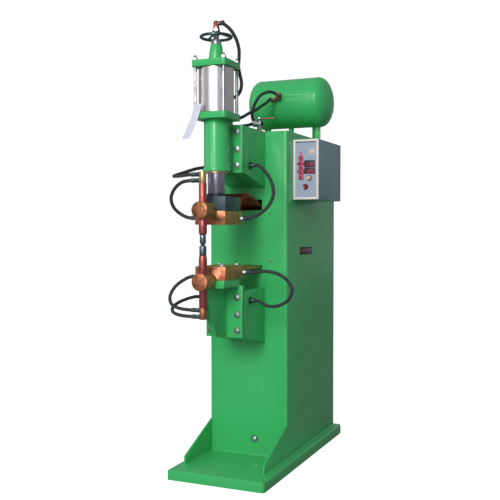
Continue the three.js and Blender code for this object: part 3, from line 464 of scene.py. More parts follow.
class Form:
    """A mesh being made in the frame's axes, which becomes one piece."""

    def __init__(self, finish: Finish) -> None:
        """Starts empty; faces made now take the first finish.

        Args:
            finish: the first finish.
        """
        self.bm = bmesh.new()
        self.finishes: list[Finish] = [finish]
        self.ink = 0
        self.edges = self.bm.faces.layers.float.new("edge")

    @classmethod
    def of_node(cls, node: str, finish: Finish) -> "Form":
        """A merged copy of a CAD node's mesh, with its flat faces whole again.

        Args:
            node: the CAD node's name.
            finish: the finish.

        Returns:
            The form that holds the copy.
        """
        form = cls(finish)
        form.bm.free()
        form.bm = bmesh.new()
        form.bm.from_mesh(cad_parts[node].data)
        for face in form.bm.faces:
            face.material_index = 0
        form.edges = form.bm.faces.layers.float.new("edge")
        bmesh.ops.remove_doubles(form.bm, verts=form.bm.verts, dist=1e-5)
        bmesh.ops.dissolve_limit(form.bm, angle_limit=math.radians(0.6), verts=form.bm.verts,
                                 edges=form.bm.edges)
        return form

    def use(self, finish: Finish) -> "Form":
        """Faces made from now on take this finish.

        Args:
            finish: the finish for what follows.

        Returns:
            This form.
        """
        if finish not in self.finishes:
            self.finishes.append(finish)
        self.ink = self.finishes.index(finish)
        return self

    def own(self, made: Sequence) -> list[bmesh.types.BMFace]:
        """Paints newly made faces and hands them back.

        Args:
            made: what an operator made.

        Returns:
            The faces that were painted.
        """
        verts = {item for item in made if isinstance(item, bmesh.types.BMVert)}
        faces = {face for vert in verts for face in vert.link_faces}
        for face in faces:
            face.material_index = self.ink
        return list(faces)

    def box(self, low: Sequence[float], high: Sequence[float], bevel: float = 0.0,
            segments: int = 2) -> "Form":
        """A block between two corners, with its edges rounded.

        Args:
            low: the low corner.
            high: the high corner.
            bevel: the rounding, or 0 for none.
            segments: facets across the rounding.

        Returns:
            This form.
        """
        low, high = Vector(low), Vector(high)
        place = Matrix.Translation((low + high) / 2) @ Matrix.Diagonal((*(high - low), 1.0))
        verts = bmesh.ops.create_cube(self.bm, size=1.0, matrix=place)["verts"]
        self.own(verts)
        if bevel:
            self._round({edge for vert in verts for edge in vert.link_edges}, bevel, segments)
        return self

    def turned(self, outline: Sequence[tuple[float, float]], at: Sequence[float],
               axis: Axis = Axis.Z, steps: int = 32) -> "Form":
        """A body of revolution.

        Args:
            outline: pairs of radius and height, starting and ending on the axis or closed.
            at: the point on the axis that heights are counted from.
            axis: the direction of the axis.
            steps: how many sides the circle has.

        Returns:
            The form itself.
        """
        up = axis.value
        side = up.orthogonal().normalized()
        centre = Vector(at)
        verts = [self.bm.verts.new(centre + side * radius + up * rise) for radius, rise in outline]
        edges = [self.bm.edges.new(pair) for pair in zip(verts, verts[1:])]
        before = set(self.bm.faces)
        bmesh.ops.spin(self.bm, geom=verts + edges, cent=centre, axis=up, dvec=(0, 0, 0),
                       angle=2 * math.pi, steps=steps, use_merge=True, use_duplicate=False)
        faces = [face for face in self.bm.faces if face not in before]
        points = list({vert for face in faces for vert in face.verts})
        bmesh.ops.remove_doubles(self.bm, verts=points, dist=1e-6)
        faces = [face for face in self.bm.faces if face not in before]
        for face in faces:
            face.material_index = self.ink
        bmesh.ops.recalc_face_normals(self.bm, faces=faces)
        return self

    def rod(self, start: Sequence[float], radius: float, length: float, axis: Axis = Axis.Z,
            chamfer: float = 0.0, steps: int = 32) -> "Form":
        """A round bar with chamfered ends.

        Args:
            start: the middle of its first end.
            radius: its radius.
            length: how far it runs.
            axis: the way that it runs.
            chamfer: the width of the softened edge.
            steps: facets round the axis.

        Returns:
            This form.
        """
        outline = [(0, 0), (radius - chamfer, 0), (radius, chamfer), (radius, length - chamfer),
                   (radius - chamfer, length), (0, length)]
        if not chamfer:
            outline = [(0, 0), (radius, 0), (radius, length), (0, length)]
        return self.turned(outline, start, axis, steps)

    def collar(self, start: Sequence[float], inner: float, outer: float, length: float,
               axis: Axis = Axis.Z, chamfer: float = 0.0005, steps: int = 32) -> "Form":
        """A ring with softened outer edges.

        Args:
            start: the middle of its first end.
            inner: the hole's radius.
            outer: the outside radius.
            length: how far it runs.
            axis: the way that it runs.
            chamfer: the width of the softened edge.
            steps: facets round the axis.

        Returns:
            This form.
        """
        outline = [(inner, 0), (outer - chamfer, 0), (outer, chamfer), (outer, length - chamfer),
                   (outer - chamfer, length), (inner, length), (inner, 0)]
        return self.turned(outline, start, axis, steps)

    def nut(self, start: Sequence[float], radius: float, length: float, axis: Axis = Axis.Z,
            turn: float = 0.0) -> "Form":
        """A hexagon with its top corners rounded off.

        Args:
            start: the middle of its first end.
            radius: the radius to its corners.
            length: how far it runs.
            axis: the way that it runs.
            turn: its turn about the axis, in radians.

        Returns:
            This form.
        """
        up = axis.value
        side = up.orthogonal().normalized()
        basis = Matrix((side, up.cross(side), up)).transposed().to_4x4()
        place = Matrix.Translation(Vector(start) + up * (length / 2)) @ basis
        place = place @ Matrix.Rotation(turn, 4, "Z")
        verts = bmesh.ops.create_cone(self.bm, cap_ends=True, segments=6, radius1=radius,
                                      radius2=radius, depth=length, matrix=place)["verts"]
        self.own(verts)
        rim = {edge for vert in verts for edge in vert.link_edges
               if all((point.co - Vector(start)).dot(up) > 0.9 * length for point in edge.verts)}
        self._round(rim, min(0.12 * radius, 0.3 * length), 2)
        return self

    def prism(self, corners: Sequence[Sequence[float]], push: Sequence[float],
              bevel: float = 0.0) -> "Form":
        """A flat outline pushed along a vector, with its edges rounded.

        Args:
            corners: the outline's corners in order.
            push: how far and which way it is pushed.
            bevel: the rounding, or 0 for none.

        Returns:
            This form.
        """
        face = self.bm.faces.new([self.bm.verts.new(Vector(corner)) for corner in corners])
        made = bmesh.ops.extrude_face_region(self.bm, geom=[face], use_keep_orig=True)["geom"]
        moved = [item for item in made if isinstance(item, bmesh.types.BMVert)]
        bmesh.ops.translate(self.bm, verts=moved, vec=Vector(push))
        verts = moved + list(face.verts)
        faces = self.own(verts)
        bmesh.ops.recalc_face_normals(self.bm, faces=faces)
        if bevel:
            self._round({edge for vert in verts for edge in vert.link_edges}, bevel, 2)
        return self

    def ribbon(self, path: Sequence[Vector], across: Vector, thickness: float) -> "Form":
        """A strip that follows a path, as wide as the vector across, with a wall thickness.

        Args:
            path: the middle line.
            across: the strip's width as a vector.
            thickness: the wall's thickness.

        Returns:
            This form.
        """
        first = [self.bm.verts.new(path[0] - across / 2), self.bm.verts.new(path[0] + across / 2)]
        edge = self.bm.edges.new(first)
        made: list[bmesh.types.BMFace] = []
        for here, there in zip(path, path[1:]):
            grown = bmesh.ops.extrude_edge_only(self.bm, edges=[edge])["geom"]
            verts = [item for item in grown if isinstance(item, bmesh.types.BMVert)]
            made += [item for item in grown if isinstance(item, bmesh.types.BMFace)]
            bmesh.ops.translate(self.bm, verts=verts, vec=there - here)
            edge = next(item for item in grown if isinstance(item, bmesh.types.BMEdge)
                        and set(item.verts) == set(verts))
        before = set(self.bm.faces) - set(made)
        bmesh.ops.solidify(self.bm, geom=made, thickness=thickness)
        faces = [face for face in self.bm.faces if face not in before]
        for face in faces:
            face.material_index = self.ink
        bmesh.ops.recalc_face_normals(self.bm, faces=faces)
        return self

    def drop(self, test: Test) -> "Form":
        """Removes the faces whose middle passes a test and closes what they leave open.

        Args:
            test: says yes to the middle of a face that goes.

        Returns:
            This form.
        """
        gone = [face for face in self.bm.faces if test(face.calc_center_median())]
        bmesh.ops.delete(self.bm, geom=gone, context="FACES")
        rims = [edge for edge in self.bm.edges if edge.is_boundary]
        bmesh.ops.holes_fill(self.bm, edges=rims, sides=0)
        return self

    def accent(self, finish: Finish, test: Test) -> "Form":
        """Gives another finish to the faces whose middle passes a test.

        Args:
            finish: the other finish.
            test: says yes to the middle of a face that takes it.

        Returns:
            This form.
        """
        self.use(finish)
        for face in self.bm.faces:
            if test(face.calc_center_median()):
                face.material_index = self.ink
        return self

    def _round(self, edges: set[bmesh.types.BMEdge], width: float, segments: int) -> None:
        """Bevels edges and marks the new faces as edge.

        Args:
            edges: the edges to bevel.
            width: how wide the rounding is.
            segments: facets across the rounding.
        """
        old = set(self.bm.faces)
        made = bmesh.ops.bevel(self.bm, geom=list(edges), offset=width, offset_type="OFFSET",
                               segments=segments, profile=0.5, affect="EDGES", material=-1,
                               clamp_overlap=True)["faces"]
        for face in made:
            if face not in old:
                face[self.edges] = 1.0

    def soften(self, width: float, angle: float = 40.0, segments: int = 2,
               test: Optional[Test] = None) -> "Form":
        """Rounds every edge sharper than an angle, or those whose middle passes a test.

        Args:
            width: how wide the rounding is.
            angle: edges sharper than this many degrees are rounded.
            segments: facets across the rounding.
            test: narrows them to those whose middle it says yes to.

        Returns:
            This form.
        """
        sharp = set()
        for edge in self.bm.edges:
            if len(edge.link_faces) == 2 and edge.calc_face_angle(0.0) > math.radians(angle):
                middle = (edge.verts[0].co + edge.verts[1].co) / 2
                if test is None or test(middle):
                    sharp.add(edge)
        self._round(sharp, width, segments)
        return self

    def piece(self, name: str, body: Optional[str] = "machine", replaces: Sequence[str] = (),
              smooth: float = 38.0) -> bpy.types.Object:
        """Turns the form into an object that rides on a body.

        Args:
            name: the piece's name.
            body: the CAD body that carries it, or None to attach it to none.
            replaces: the CAD nodes that it stands for.
            smooth: edges sharper than this many degrees stay sharp.

        Returns:
            The finished object.
        """
        mesh = bpy.data.meshes.new(name)
        self.bm.to_mesh(mesh)
        self.bm.free()
        if "custom_normal" in mesh.attributes:
            mesh.attributes.remove(mesh.attributes["custom_normal"])
        for finish in self.finishes:
            mesh.materials.append(finish.material())
        for polygon in mesh.polygons:
            polygon.use_smooth = True
        mesh.set_sharp_from_angle(angle=math.radians(smooth))
        obj = bpy.data.objects.new(name, mesh)
        bpy.context.scene.collection.objects.link(obj)
        if body:
            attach(obj, body)
        if replaces:
            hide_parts(*replaces)
        LOG.info("%s: %d faces", name, len(mesh.polygons))
        return obj


# ---------------------------------------------------------------- camera and light


@dataclass
class Studio:
    """The camera, a pale floor and soft light."""

    eye: Point = (1.20684, -2.87733, 0.89393)
    tilt: float = 88.17
    turn: float = 23.67
    lens: float = 57.25
    shift: tuple[float, float] = (-0.0005, 0.0062)

    def build(self) -> None:
        """Makes the camera, the floor, the sky and the lamps."""
        self._camera()
        self._floor()
        self._sky()
        self._sun("key_sun", 1.15, 20, (66, 0, 4))
        self._soft("key_box", (0.30, -4.5, 2.35), 1.0, 3.2, 68)
        self._soft("front_strip", (1.72, -4.0, 1.5), 0.3, 1.8, 8)
        self._soft("tank_glint", (-1.14, -2.85, 2.93), 0.9, 0.08, 6)
        self._soft("left_box", (-3.2, -1.6, 2.0), 1.2, 2.6, 9)

    def _camera(self) -> None:
        """The main view."""
        camera = bpy.data.cameras.new("camera")
        camera.sensor_width = 36.0
        camera.lens = self.lens
        camera.shift_x, camera.shift_y = self.shift
        camera.clip_start = 0.05
        obj = bpy.data.objects.new("camera", camera)
        obj.location = self.eye
        obj.rotation_euler = (math.radians(self.tilt), 0.0, math.radians(self.turn))
        bpy.context.scene.collection.objects.link(obj)
        bpy.context.scene.camera = obj

    def _floor(self) -> None:
        """A wide pale floor."""
        mesh = bpy.data.meshes.new("floor")
        bm = bmesh.new()
        bmesh.ops.create_grid(bm, x_segments=1, y_segments=1, size=14.0)
        bmesh.ops.translate(bm, verts=bm.verts, vec=(0, 0, -0.0005))
        bm.to_mesh(mesh)
        bm.free()
        mesh.materials.append(self._floor_paint())
        obj = bpy.data.objects.new("floor", mesh)
        bpy.context.scene.collection.objects.link(obj)

    def _floor_paint(self) -> bpy.types.Material:
        """A pale paint that looks nearly white and throws only a little light back.

        Returns:
            The finished material.
        """
        material = bpy.data.materials.new("floor_paint")
        material.use_nodes = True
        tree = material.node_tree
        tree.nodes.clear()
        pale = tree.nodes.new("ShaderNodeBsdfPrincipled")
        pale.inputs["Base Color"].default_value = (0.93, 0.935, 0.93, 1.0)
        pale.inputs["Roughness"].default_value = 0.8
        pale.inputs["Emission Color"].default_value = (1.0, 1.0, 1.0, 1.0)
        pale.inputs["Emission Strength"].default_value = 0.72
        dull = tree.nodes.new("ShaderNodeBsdfDiffuse")
        dull.inputs["Color"].default_value = (0.34, 0.34, 0.34, 1.0)
        path = tree.nodes.new("ShaderNodeLightPath")
        blend = tree.nodes.new("ShaderNodeMixShader")
        out = tree.nodes.new("ShaderNodeOutputMaterial")
        tree.links.new(path.outputs["Is Camera Ray"], blend.inputs[0])
        tree.links.new(dull.outputs[0], blend.inputs[1])
        tree.links.new(pale.outputs[0], blend.inputs[2])
        tree.links.new(blend.outputs[0], out.inputs["Surface"])
        return material

    def _sky(self) -> None:
        """White to the eye, and a softer grey dome as a light."""
        world = bpy.data.worlds.new("studio")
        bpy.context.scene.world = world
        world.use_nodes = True
        tree = world.node_tree
        tree.nodes.clear()
        seen = tree.nodes.new("ShaderNodeBackground")
        seen.inputs["Color"].default_value = (1.0, 1.0, 1.0, 1.0)
        seen.inputs["Strength"].default_value = 1.05
        dome = tree.nodes.new("ShaderNodeBackground")
        dome.inputs["Color"].default_value = (0.92, 0.97, 1.0, 1.0)
        dome.inputs["Strength"].default_value = 0.33
        path = tree.nodes.new("ShaderNodeLightPath")
        blend = tree.nodes.new("ShaderNodeMixShader")
        out = tree.nodes.new("ShaderNodeOutputWorld")
        tree.links.new(path.outputs["Is Camera Ray"], blend.inputs[0])
        tree.links.new(dome.outputs[0], blend.inputs[1])
        tree.links.new(seen.outputs[0], blend.inputs[2])
        tree.links.new(blend.outputs[0], out.inputs["Surface"])
        bpy.context.scene.view_settings.view_transform = "Standard"

    def _sun(self, name: str, strength: float, spread: float, turn: Point) -> None:
        """A sun with a soft edge.

        Args:
            name: the light's name.
            strength: its strength.
            spread: its width in degrees.
            turn: its rotation in degrees.
        """
        light = bpy.data.lights.new(name, "SUN")
        light.energy = strength
        light.angle = math.radians(spread)
        obj = bpy.data.objects.new(name, light)
        obj.rotation_euler = [math.radians(part) for part in turn]
        bpy.context.scene.collection.objects.link(obj)

    def _soft(self, name: str, at: Point, width: float, height: float, power: float) -> None:
        """A soft box that faces the machine's middle.

        Args:
            name: the light's name.
            at: where it stands.
            width: its width.
            height: its height.
            power: its power in watts.
        """
        light = bpy.data.lights.new(name, "AREA")
        light.shape = "RECTANGLE"
        light.size, light.size_y = width, height
        light.energy = power
        obj = bpy.data.objects.new(name, light)
        obj.location = at
        aim = Vector((0.0, 0.0, 0.9)) - Vector(at)
        obj.rotation_euler = aim.to_track_quat("-Z", "Y").to_euler()
        bpy.context.scene.collection.objects.link(obj)


# ---------------------------------------------------------------- hoses


@dataclass(frozen=True)
class HoseRun:
    """One hose: its route in millimetres from the column's face, and what its ends ride on."""

    node: str
    route: tuple[Point, ...]
    first: str = "machine"
    last: str = "machine"
    span: Optional[tuple[Point, Point]] = None


@dataclass
class Hoses:
    """The water and air hoses with their crimped ferrules."""

    diameter: float = 0.012
    ferrule: float = 0.016
    spacing: float = 0.007

    def build(self) -> None:
        """Makes every hose along its route."""
        for run in self.runs():
            self._hose(run)

    def runs(self) -> list[HoseRun]:
        """The routes of the hoses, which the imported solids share.

        Returns:
            The routes, one for each hose.
        """
        ram, machine = "ram_unit", "machine"
        return [
            HoseRun("hose_upper_right", (
                (69.3, -192, 926), (86, -192, 926), (114, -184, 935.4), (146, -174, 959.8),
                (166, -166, 993.7), (168, -160, 1023.8), (156, -153, 1057.6), (132, -145, 1089.6),
                (100, -138, 1114), (74.3, -138, 1114)), ram, machine,
                ((70, -160, 940), (70, -160, 1100))),
            HoseRun("hose_lower_right", (
                (69.3, -169, 737.5), (100, -169, 737.5), (142, -167, 741.5), (188, -164, 732.5),
                (220, -160, 711.5), (236, -156, 680), (222, -152, 644), (180, -146, 620),
                (138, -141, 618), (100, -138, 634), (74.3, -138, 634))),
            HoseRun("hose_upper_feed", (
                (-26.3, -370, 1071.2), (-48, -370, 1071.2), (-90, -366, 1068.2),
                (-122, -346, 1069.2), (-136, -304, 1076.3), (-132, -246, 1090), (-118, -190, 1105),
                (-100, -138, 1114), (-74.3, -138, 1114)), ram, machine,
                ((-80, -360, 1090), (-80, -150, 1090))),
            HoseRun("hose_upper_link", (
                (-26.3, -370, 1051.2), (-50, -370, 1051.2), (-92, -354, 1045.2),
                (-128, -338, 1022.2), (-146, -324, 992.2), (-142, -310, 962), (-120, -292, 938),
                (-92, -290, 928), (-69.3, -290, 928)), ram, ram),
            HoseRun("hose_lower_link", (
                (-69.3, -290, 724), (-88, -290, 724), (-114, -299, 711), (-139, -312, 688),
                (-150, -327, 656), (-136, -342, 632), (-102, -356, 621), (-56, -370, 618),
                (-26.3, -370, 618))),
            HoseRun("hose_lower_feed", (
                (-26.3, -370, 596), (-54, -370, 596), (-90, -366, 598), (-122, -354, 605),
                (-138, -330, 618), (-134, -300, 632), (-118, -258, 644), (-106, -210, 648),
                (-102, -165, 640), (-98, -138, 634), (-74.3, -138, 634))),
            HoseRun("hose_cylinder", (
                (13.8, -267, 1590.4), (22, -267, 1590.4), (42, -248, 1573.4), (54, -224, 1545.4),
                (57, -204.5, 1510.4), (52, -193.5, 1480.3), (48, -188.5, 1456.3),
                (53, -187.5, 1426.3), (59, -187.5, 1399.3), (53, -183.5, 1372.3),
                (32, -173.5, 1355.3), (-4, -155, 1352), (-34, -134, 1338), (-34, -134, 1312.3)),
                "elbow_unit", machine, ((0, -200, 1570), (0, -200, 1400))),
            HoseRun("hose_tank_valve", (
                (-12, 323.95, 1442), (-12, 312.25, 1442), (-28, 290.25, 1448),
                (-52, 258.25, 1434), (-60, 215.25, 1398), (-52, 165, 1355), (-32, 118, 1318),
                (-6, 86, 1294), (14, 60, 1283), (14, 42.3, 1283))),
            HoseRun("hose_tank_solenoid", (
                (-36, 323.95, 1420), (-36, 310.25, 1420), (-44, 280.25, 1401),
                (-47, 240.25, 1384), (-42, 190.25, 1366), (-34, 130, 1348), (-24, 60, 1329),
                (-12, -10, 1309), (-14, -60, 1293), (-22, -90, 1284), (-22, -109.7, 1284))),
        ]

    def smooth(self, route: Sequence[Point]) -> list[Vector]:
        """A centripetal curve through the route's points, in metres.

        Args:
            route: the points in millimetres from the column's face.

        Returns:
            Points along the curve, one for about every spacing.
        """
        knots = [at_face(*point) for point in route]
        knots = [2 * knots[0] - knots[1], *knots, 2 * knots[-1] - knots[-2]]
        path = [knots[1]]
        for before, start, end, after in zip(knots, knots[1:], knots[2:], knots[3:]):
            gaps = [math.sqrt((b - a).length) for a, b in
                    ((before, start), (start, end), (end, after))]
            leave = ((start - before) / gaps[0] - (end - before) / (gaps[0] + gaps[1])
                     + (end - start) / gaps[1]) * gaps[1]
            arrive = ((end - start) / gaps[1] - (after - start) / (gaps[1] + gaps[2])
                      + (after - end) / gaps[2]) * gaps[1]
            count = max(2, round((end - start).length / self.spacing))
            for step in range(1, count + 1):
                t = step / count
                path.append(start + leave * t + (3 * (end - start) - 2 * leave - arrive) * t * t
                            + (2 * (start - end) + leave + arrive) * t * t * t)
        return path

    def _hose(self, run: HoseRun) -> None:
        """Makes a hose and its two ferrules.

        Args:
            run: the hose's route and ends.
        """
        path = self.smooth(run.route)
        length = sum((b - a).length for a, b in zip(path, path[1:]))
        form = Form(HOSE)
        self._tube(form, path)
        body = None if run.span else run.first
        hose = form.piece(run.node + "_tube", body, [run.node], 60)
        if run.span:
            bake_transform(hose)
        ends = [self._ferrule(run.node + "_ferrule_1", path[0], path[1], run.first),
                self._ferrule(run.node + "_ferrule_2", path[-1], path[-2], run.last)]

    def _tube(self, form: Form, path: list[Vector]) -> None:
        """Sweeps a circle along a path.

        Args:
            form: the form that it is added to.
            path: the points along its middle.
        """
        curve = bpy.data.curves.new("sweep", "CURVE")
        curve.dimensions = "3D"
        curve.bevel_depth = self.diameter / 2
        curve.bevel_resolution = 5
        curve.use_fill_caps = True
        spline = curve.splines.new("POLY")
        spline.points.add(len(path) - 1)
        for point, place in zip(spline.points, path):
            point.co = (*place, 1.0)
        holder = bpy.data.objects.new("sweep", curve)
        mesh = bpy.data.meshes.new_from_object(holder)
        form.bm.from_mesh(mesh)
        bmesh.ops.remove_doubles(form.bm, verts=form.bm.verts, dist=1e-6)
        bmesh.ops.recalc_face_normals(form.bm, faces=form.bm.faces)
        bpy.data.objects.remove(holder)
        bpy.data.curves.remove(curve)
        bpy.data.meshes.remove(mesh)

    def _ferrule(self, name: str, end: Vector, inward: Vector, body: str) -> bpy.types.Object:
        """A crimped sleeve over a hose's end.

        Args:
            name: the piece's name.
            end: the hose's end.
            inward: the next point along the hose.
            body: the CAD body that carries it.

        Returns:
            The ferrule.
        """
        along = (inward - end).normalized()
        outer, inner = 0.0078, self.diameter / 2 - 0.0004
        outline = [(inner, 0), (outer - 0.0006, 0), (outer, 0.0006)]
        for ridge in range(3):
            start = 0.003 + ridge * 0.0042
            outline += [(outer, start), (outer - 0.0007, start + 0.0007),
                        (outer - 0.0007, start + 0.0021), (outer, start + 0.0028)]
        outline += [(outer, self.ferrule - 0.0006), (outer - 0.0006, self.ferrule),
                    (inner, self.ferrule), (inner, 0)]
        form = Form(DARK_STEEL).turned(outline, (0, 0, 0), Axis.Z, 24)
        turn = along.to_track_quat("Z", "Y").to_matrix().to_4x4()
        bmesh.ops.transform(form.bm, matrix=Matrix.Translation(end) @ turn, verts=form.bm.verts)
        return form.piece(name, body)


# ---------------------------------------------------------------- base, column and covers


@dataclass
class Cabinet:
    """The base, the column with its toes, the rear cover and the small things on them."""

    corner: float = 0.002
    fold: float = 0.006
    bead: float = 0.0035
    louvre_count: int = 9
    screw_radius: float = 0.005

    def build(self) -> None:
        """Makes the cabinet."""
        base = Form.of_node("base_plate", GREEN).soften(0.003, 50, 3)
        base.piece("base_plate_painted", replaces=["base_plate"])
        column = Form.of_node("column_shell", GREEN)
        column.soften(self.fold, 50, 5, self._on_fold)
        column.soften(self.corner, 50).piece("column_painted", replaces=["column_shell"])
        self._rear()
        self._earth_bolt()
        self._plate()
        self._welds()
        self._screws()

    def _on_fold(self, middle: Vector) -> bool:
        """Whether an edge is one of the column's folded front corners."""
        return (abs(abs(middle.x) - Datum.column_side) < 0.001
                and abs(middle.y - Datum.face) < 0.001 and middle.z > 0.4)

    def _rear(self) -> None:
        """The rear cover with pressed louvres and screws."""
        low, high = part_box("rear_cover")
        form = Form.of_node("rear_cover", GREEN).soften(0.0012, 50)
        form.piece("rear_cover_painted", replaces=["rear_cover"])
        louvres = Form(GREEN)
        half = 0.085
        for row in range(self.louvre_count):
            for bottom in (0.30, high.z - 0.42):
                z = bottom + row * 0.03
                louvres.prism([(-half, high.y - 0.0004, z), (-half, high.y - 0.0004, z + 0.016),
                               (-half, high.y + 0.006, z + 0.003), (-half, high.y + 0.006, z)],
                              (2 * half, 0, 0), 0.0008)
        louvres.piece("rear_louvres")
        screws = Form(STEEL)
        for x in (low.x + 0.012, high.x - 0.012):
            for step in range(5):
                z = low.z + 0.03 + step * (high.z - low.z - 0.06) / 4
                self._screw(screws, (x, high.y, z), -1)
        screws.piece("rear_cover_screws")

    def _screw(self, form: Form, at: Point, side: int) -> None:
        """A domed cross-head screw whose head looks along -Y or +Y. The dome is solid, and its cross
        recess is painted shade: two thin black bars lying on the dome.

        Args:
            form: the form that it is added to.
            at: the middle of its seat.
            side: 1 for a head that looks along -Y, -1 for +Y.
        """
        radius = self.screw_radius
        dome = [(0, 0.0026), (0.3 * radius, 0.0026), (0.7 * radius, 0.0021), (radius, 0.0006),
                (radius, -0.0004), (0, -0.0004)]
        if side > 0:
            form.use(form.finishes[0]).turned(dome, at, Axis.FRONT, 20)
        else:
            form.use(form.finishes[0]).turned([(r, -h) for r, h in dome], at, Axis.FRONT, 20)
        y = at[1] - side * 0.0027
        # Painted shade: the cross recess is not cut, so two thin black bars on the dome stand for its
        # shadow.
        form.use(BLACK)
        for wide, tall in ((0.0028, 0.0006), (0.0006, 0.0028)):
            form.box((at[0] - wide, y - 0.0002, at[2] - tall), (at[0] + wide, y + 0.0002, at[2] + tall))
        form.use(form.finishes[0])

    def _earth_bolt(self) -> None:
        """The earthing bolt with its washers and stud."""
        low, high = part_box("earth_bolt")
        x, z = (low.x + high.x) / 2, (low.z + high.z) / 2
        form = Form(DARK_STEEL).collar((x, high.y, z), 0.004, 0.0134, 0.0017, Axis.FRONT, 0.0004, 40)
        form.use(STEEL).collar((x, high.y - 0.0017, z), 0.004, 0.0098, 0.0012, Axis.FRONT, 0.0003, 36)
        form.nut((x, high.y - 0.0028, z), 0.0089, 0.0038, Axis.FRONT, 0.3)
        threads = [(0, 0.0087), (0.0026, 0.0087)]
        threads += [(0.0038 if step % 2 else 0.0034, 0.0084 - step * 0.0004) for step in range(1, 14)]
        form.turned([*threads, (0.0034, 0.0), (0, 0.0)], (x, high.y, z), Axis.FRONT, 24)
        form.piece("earth_bolt_set", replaces=["earth_bolt"])

    def _plate(self) -> None:
        """A blank rating plate with a rim and two rivets on the column's right side."""
        x = Datum.column_side
        low, high = at_face(0, 138, 790), at_face(0, 271, 819)
        form = Form(BLACK).box((x - 0.0003, low.y, low.z), (x + 0.0012, high.y, high.z), 0.0003)
        form.use(PLATE_RED).box((x, low.y + 0.012, low.z + 0.006),
                                (x + 0.0016, high.y - 0.012, high.z - 0.006), 0.0002)
        form.use(STEEL)
        for y in (low.y + 0.006, high.y - 0.006):
            form.rod((x + 0.001, y, (low.z + high.z) / 2), 0.0022, 0.0012, Axis.X, 0.0004, 14)
        form.piece("rating_plate")

    def _welds(self) -> None:
        """Painted weld beads where the column and its toes meet the base."""
        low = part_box("column_shell")[0]
        half = Datum.column_side
        z = low.z - 0.0003
        form = Form(GREEN)
        rear = Datum.face + 0.572
        for side in (-1, 1):
            x = side * half
            form.prism([(x, low.y, z), (x + side * self.bead, low.y, z), (x, low.y, z + self.bead)],
                       (0, rear - low.y, 0))
            inner = x - side * 0.006
            form.prism([(inner, low.y, z), (inner - side * self.bead, low.y, z),
                        (inner, low.y, z + self.bead)], (0, Datum.face - low.y, 0))
        front = Datum.face
        form.prism([(-half + 0.006, front, z), (-half + 0.006, front - self.bead, z),
                    (-half + 0.006, front, z + self.bead)], (2 * half - 0.012, 0, 0))
        form.prism([(-half, rear, z), (-half, rear + self.bead, z), (-half, rear, z + self.bead)],
                   (2 * half, 0, 0))
        form.piece("column_welds")

    def _screws(self) -> None:
        """Two small rusty screws beside the conductors' windows."""
        form = Form(RUST)
        for x, z in ((89.4, 944.4), (91.0, 769.1)):
            form.turned([(0, 0.0018), (0.002, 0.0017), (0.0036, 0.0004), (0.0036, -0.0004), (0, -0.0004)],
                        at_face(x, 0, z), Axis.FRONT, 18)
        form.piece("window_screws")


# ---------------------------------------------------------------- arms and head


@dataclass(frozen=True)
class BoltRows:
    """Where a bolted flange's six bolts sit."""

    top: float
    depth: float
    spread: float = 0.0508

    def places(self) -> list[Point]:
        """The middle of each bolt on the flange's front face."""
        heights = [self.top - 0.0215 - share * self.depth for share in (0.0, 0.37, 0.715)]
        return [(side * self.spread, Datum.flange_y, z) for z in heights for side in (-1, 1)]


@dataclass
class ArmsAndHead:
    """Both arms, the ram's casting and the lower bracket with their bolts."""

    corner: float = 0.002
    bolt_radius: float = 0.011
    upper: BoltRows = BoltRows(1.250, 0.165)
    lower: BoltRows = BoltRows(0.671, 0.1625)

    def build(self) -> None:
        """Makes the painted castings, then the bolts and grommets."""
        for node in ("upper_arm", "lower_arm"):
            self._arm(node)
        self._flanged("head_casting", self.upper)
        self._flanged("lower_bracket", self.lower)
        self._bush()

    def _arm(self, node: str) -> None:
        """An arm with its two rubber grommets and its weld to the column.

        Args:
            node: the CAD node's name.
        """
        low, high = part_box(node)
        side = high.x - 0.0041
        form = Form.of_node(node, GREEN)
        form.drop(lambda middle: abs(middle.x) > side + 0.0002)
        form.soften(self.corner, 50, test=lambda middle: middle.y < Datum.face - 0.004)
        form.piece(node + "_painted", replaces=[node])
        z = 1.114 if node == "upper_arm" else 0.634
        rings = Form(HOSE)
        for sign, axis in ((1, Axis.X), (-1, Axis.LEFT)):
            outline = [(0.0064, -0.001), (0.0135, -0.001), (0.0145, 0.0006), (0.0135, 0.0024),
                       (0.0105, 0.0036), (0.008, 0.0042), (0.0064, 0.0038), (0.0064, -0.001)]
            rings.turned(outline, (sign * side, Datum.face - 0.138, z), axis, 32)
        rings.piece(node + "_grommets")
        bead = Form(GREEN)
        wall = Datum.face
        for sign in (-1, 1):
            bead.prism([(sign * side, wall, low.z), (sign * (side + 0.003), wall, low.z),
                        (sign * side, wall - 0.003, low.z)], (0, 0, high.z - low.z))
        bead.piece(node + "_welds")

    def _flanged(self, node: str, rows: BoltRows) -> None:
        """A bolted casting: the cast body without its bolt heads, then real bolts.

        Args:
            node: the CAD node's name.
            rows: where its bolts are.
        """
        def on_bolt(middle: Vector) -> bool:
            return middle.y < Datum.flange_y - 0.0003 and any(
                math.hypot(middle.x - x, middle.z - z) < self.bolt_radius + 0.0004
                and middle.y > y - 0.0084 for x, y, z in rows.places())

        form = Form.of_node(node, GREEN).drop(on_bolt)
        form.soften(self.corner, 50)
        form.piece(node + "_painted", replaces=[node])
        bolts = Form(NUT_STEEL)
        for index, (x, y, z) in enumerate(rows.places()):
            bolts.collar((x, y + 0.0001, z), 0.006, 0.0128, 0.0016, Axis.FRONT, 0.0004, 36)
            bolts.nut((x, y - 0.0014, z), 0.0108, 0.0062, Axis.FRONT, 0.4 * index)
            bolts.turned([(0, 0.0007), (0.0045, 0.0005), (0.008, -0.0004), (0, -0.0004)],
                         (x, y - 0.0076, z), Axis.FRONT, 28)
        bolts.piece(node + "_bolts")

    def _bush(self) -> None:
        """The ram's guide bush with a wiper lip below the casting."""
        Form.of_node("guide_bush", BRASS).piece("guide_bush_turned", replaces=["guide_bush"])


# ---------------------------------------------------------------- air cylinder


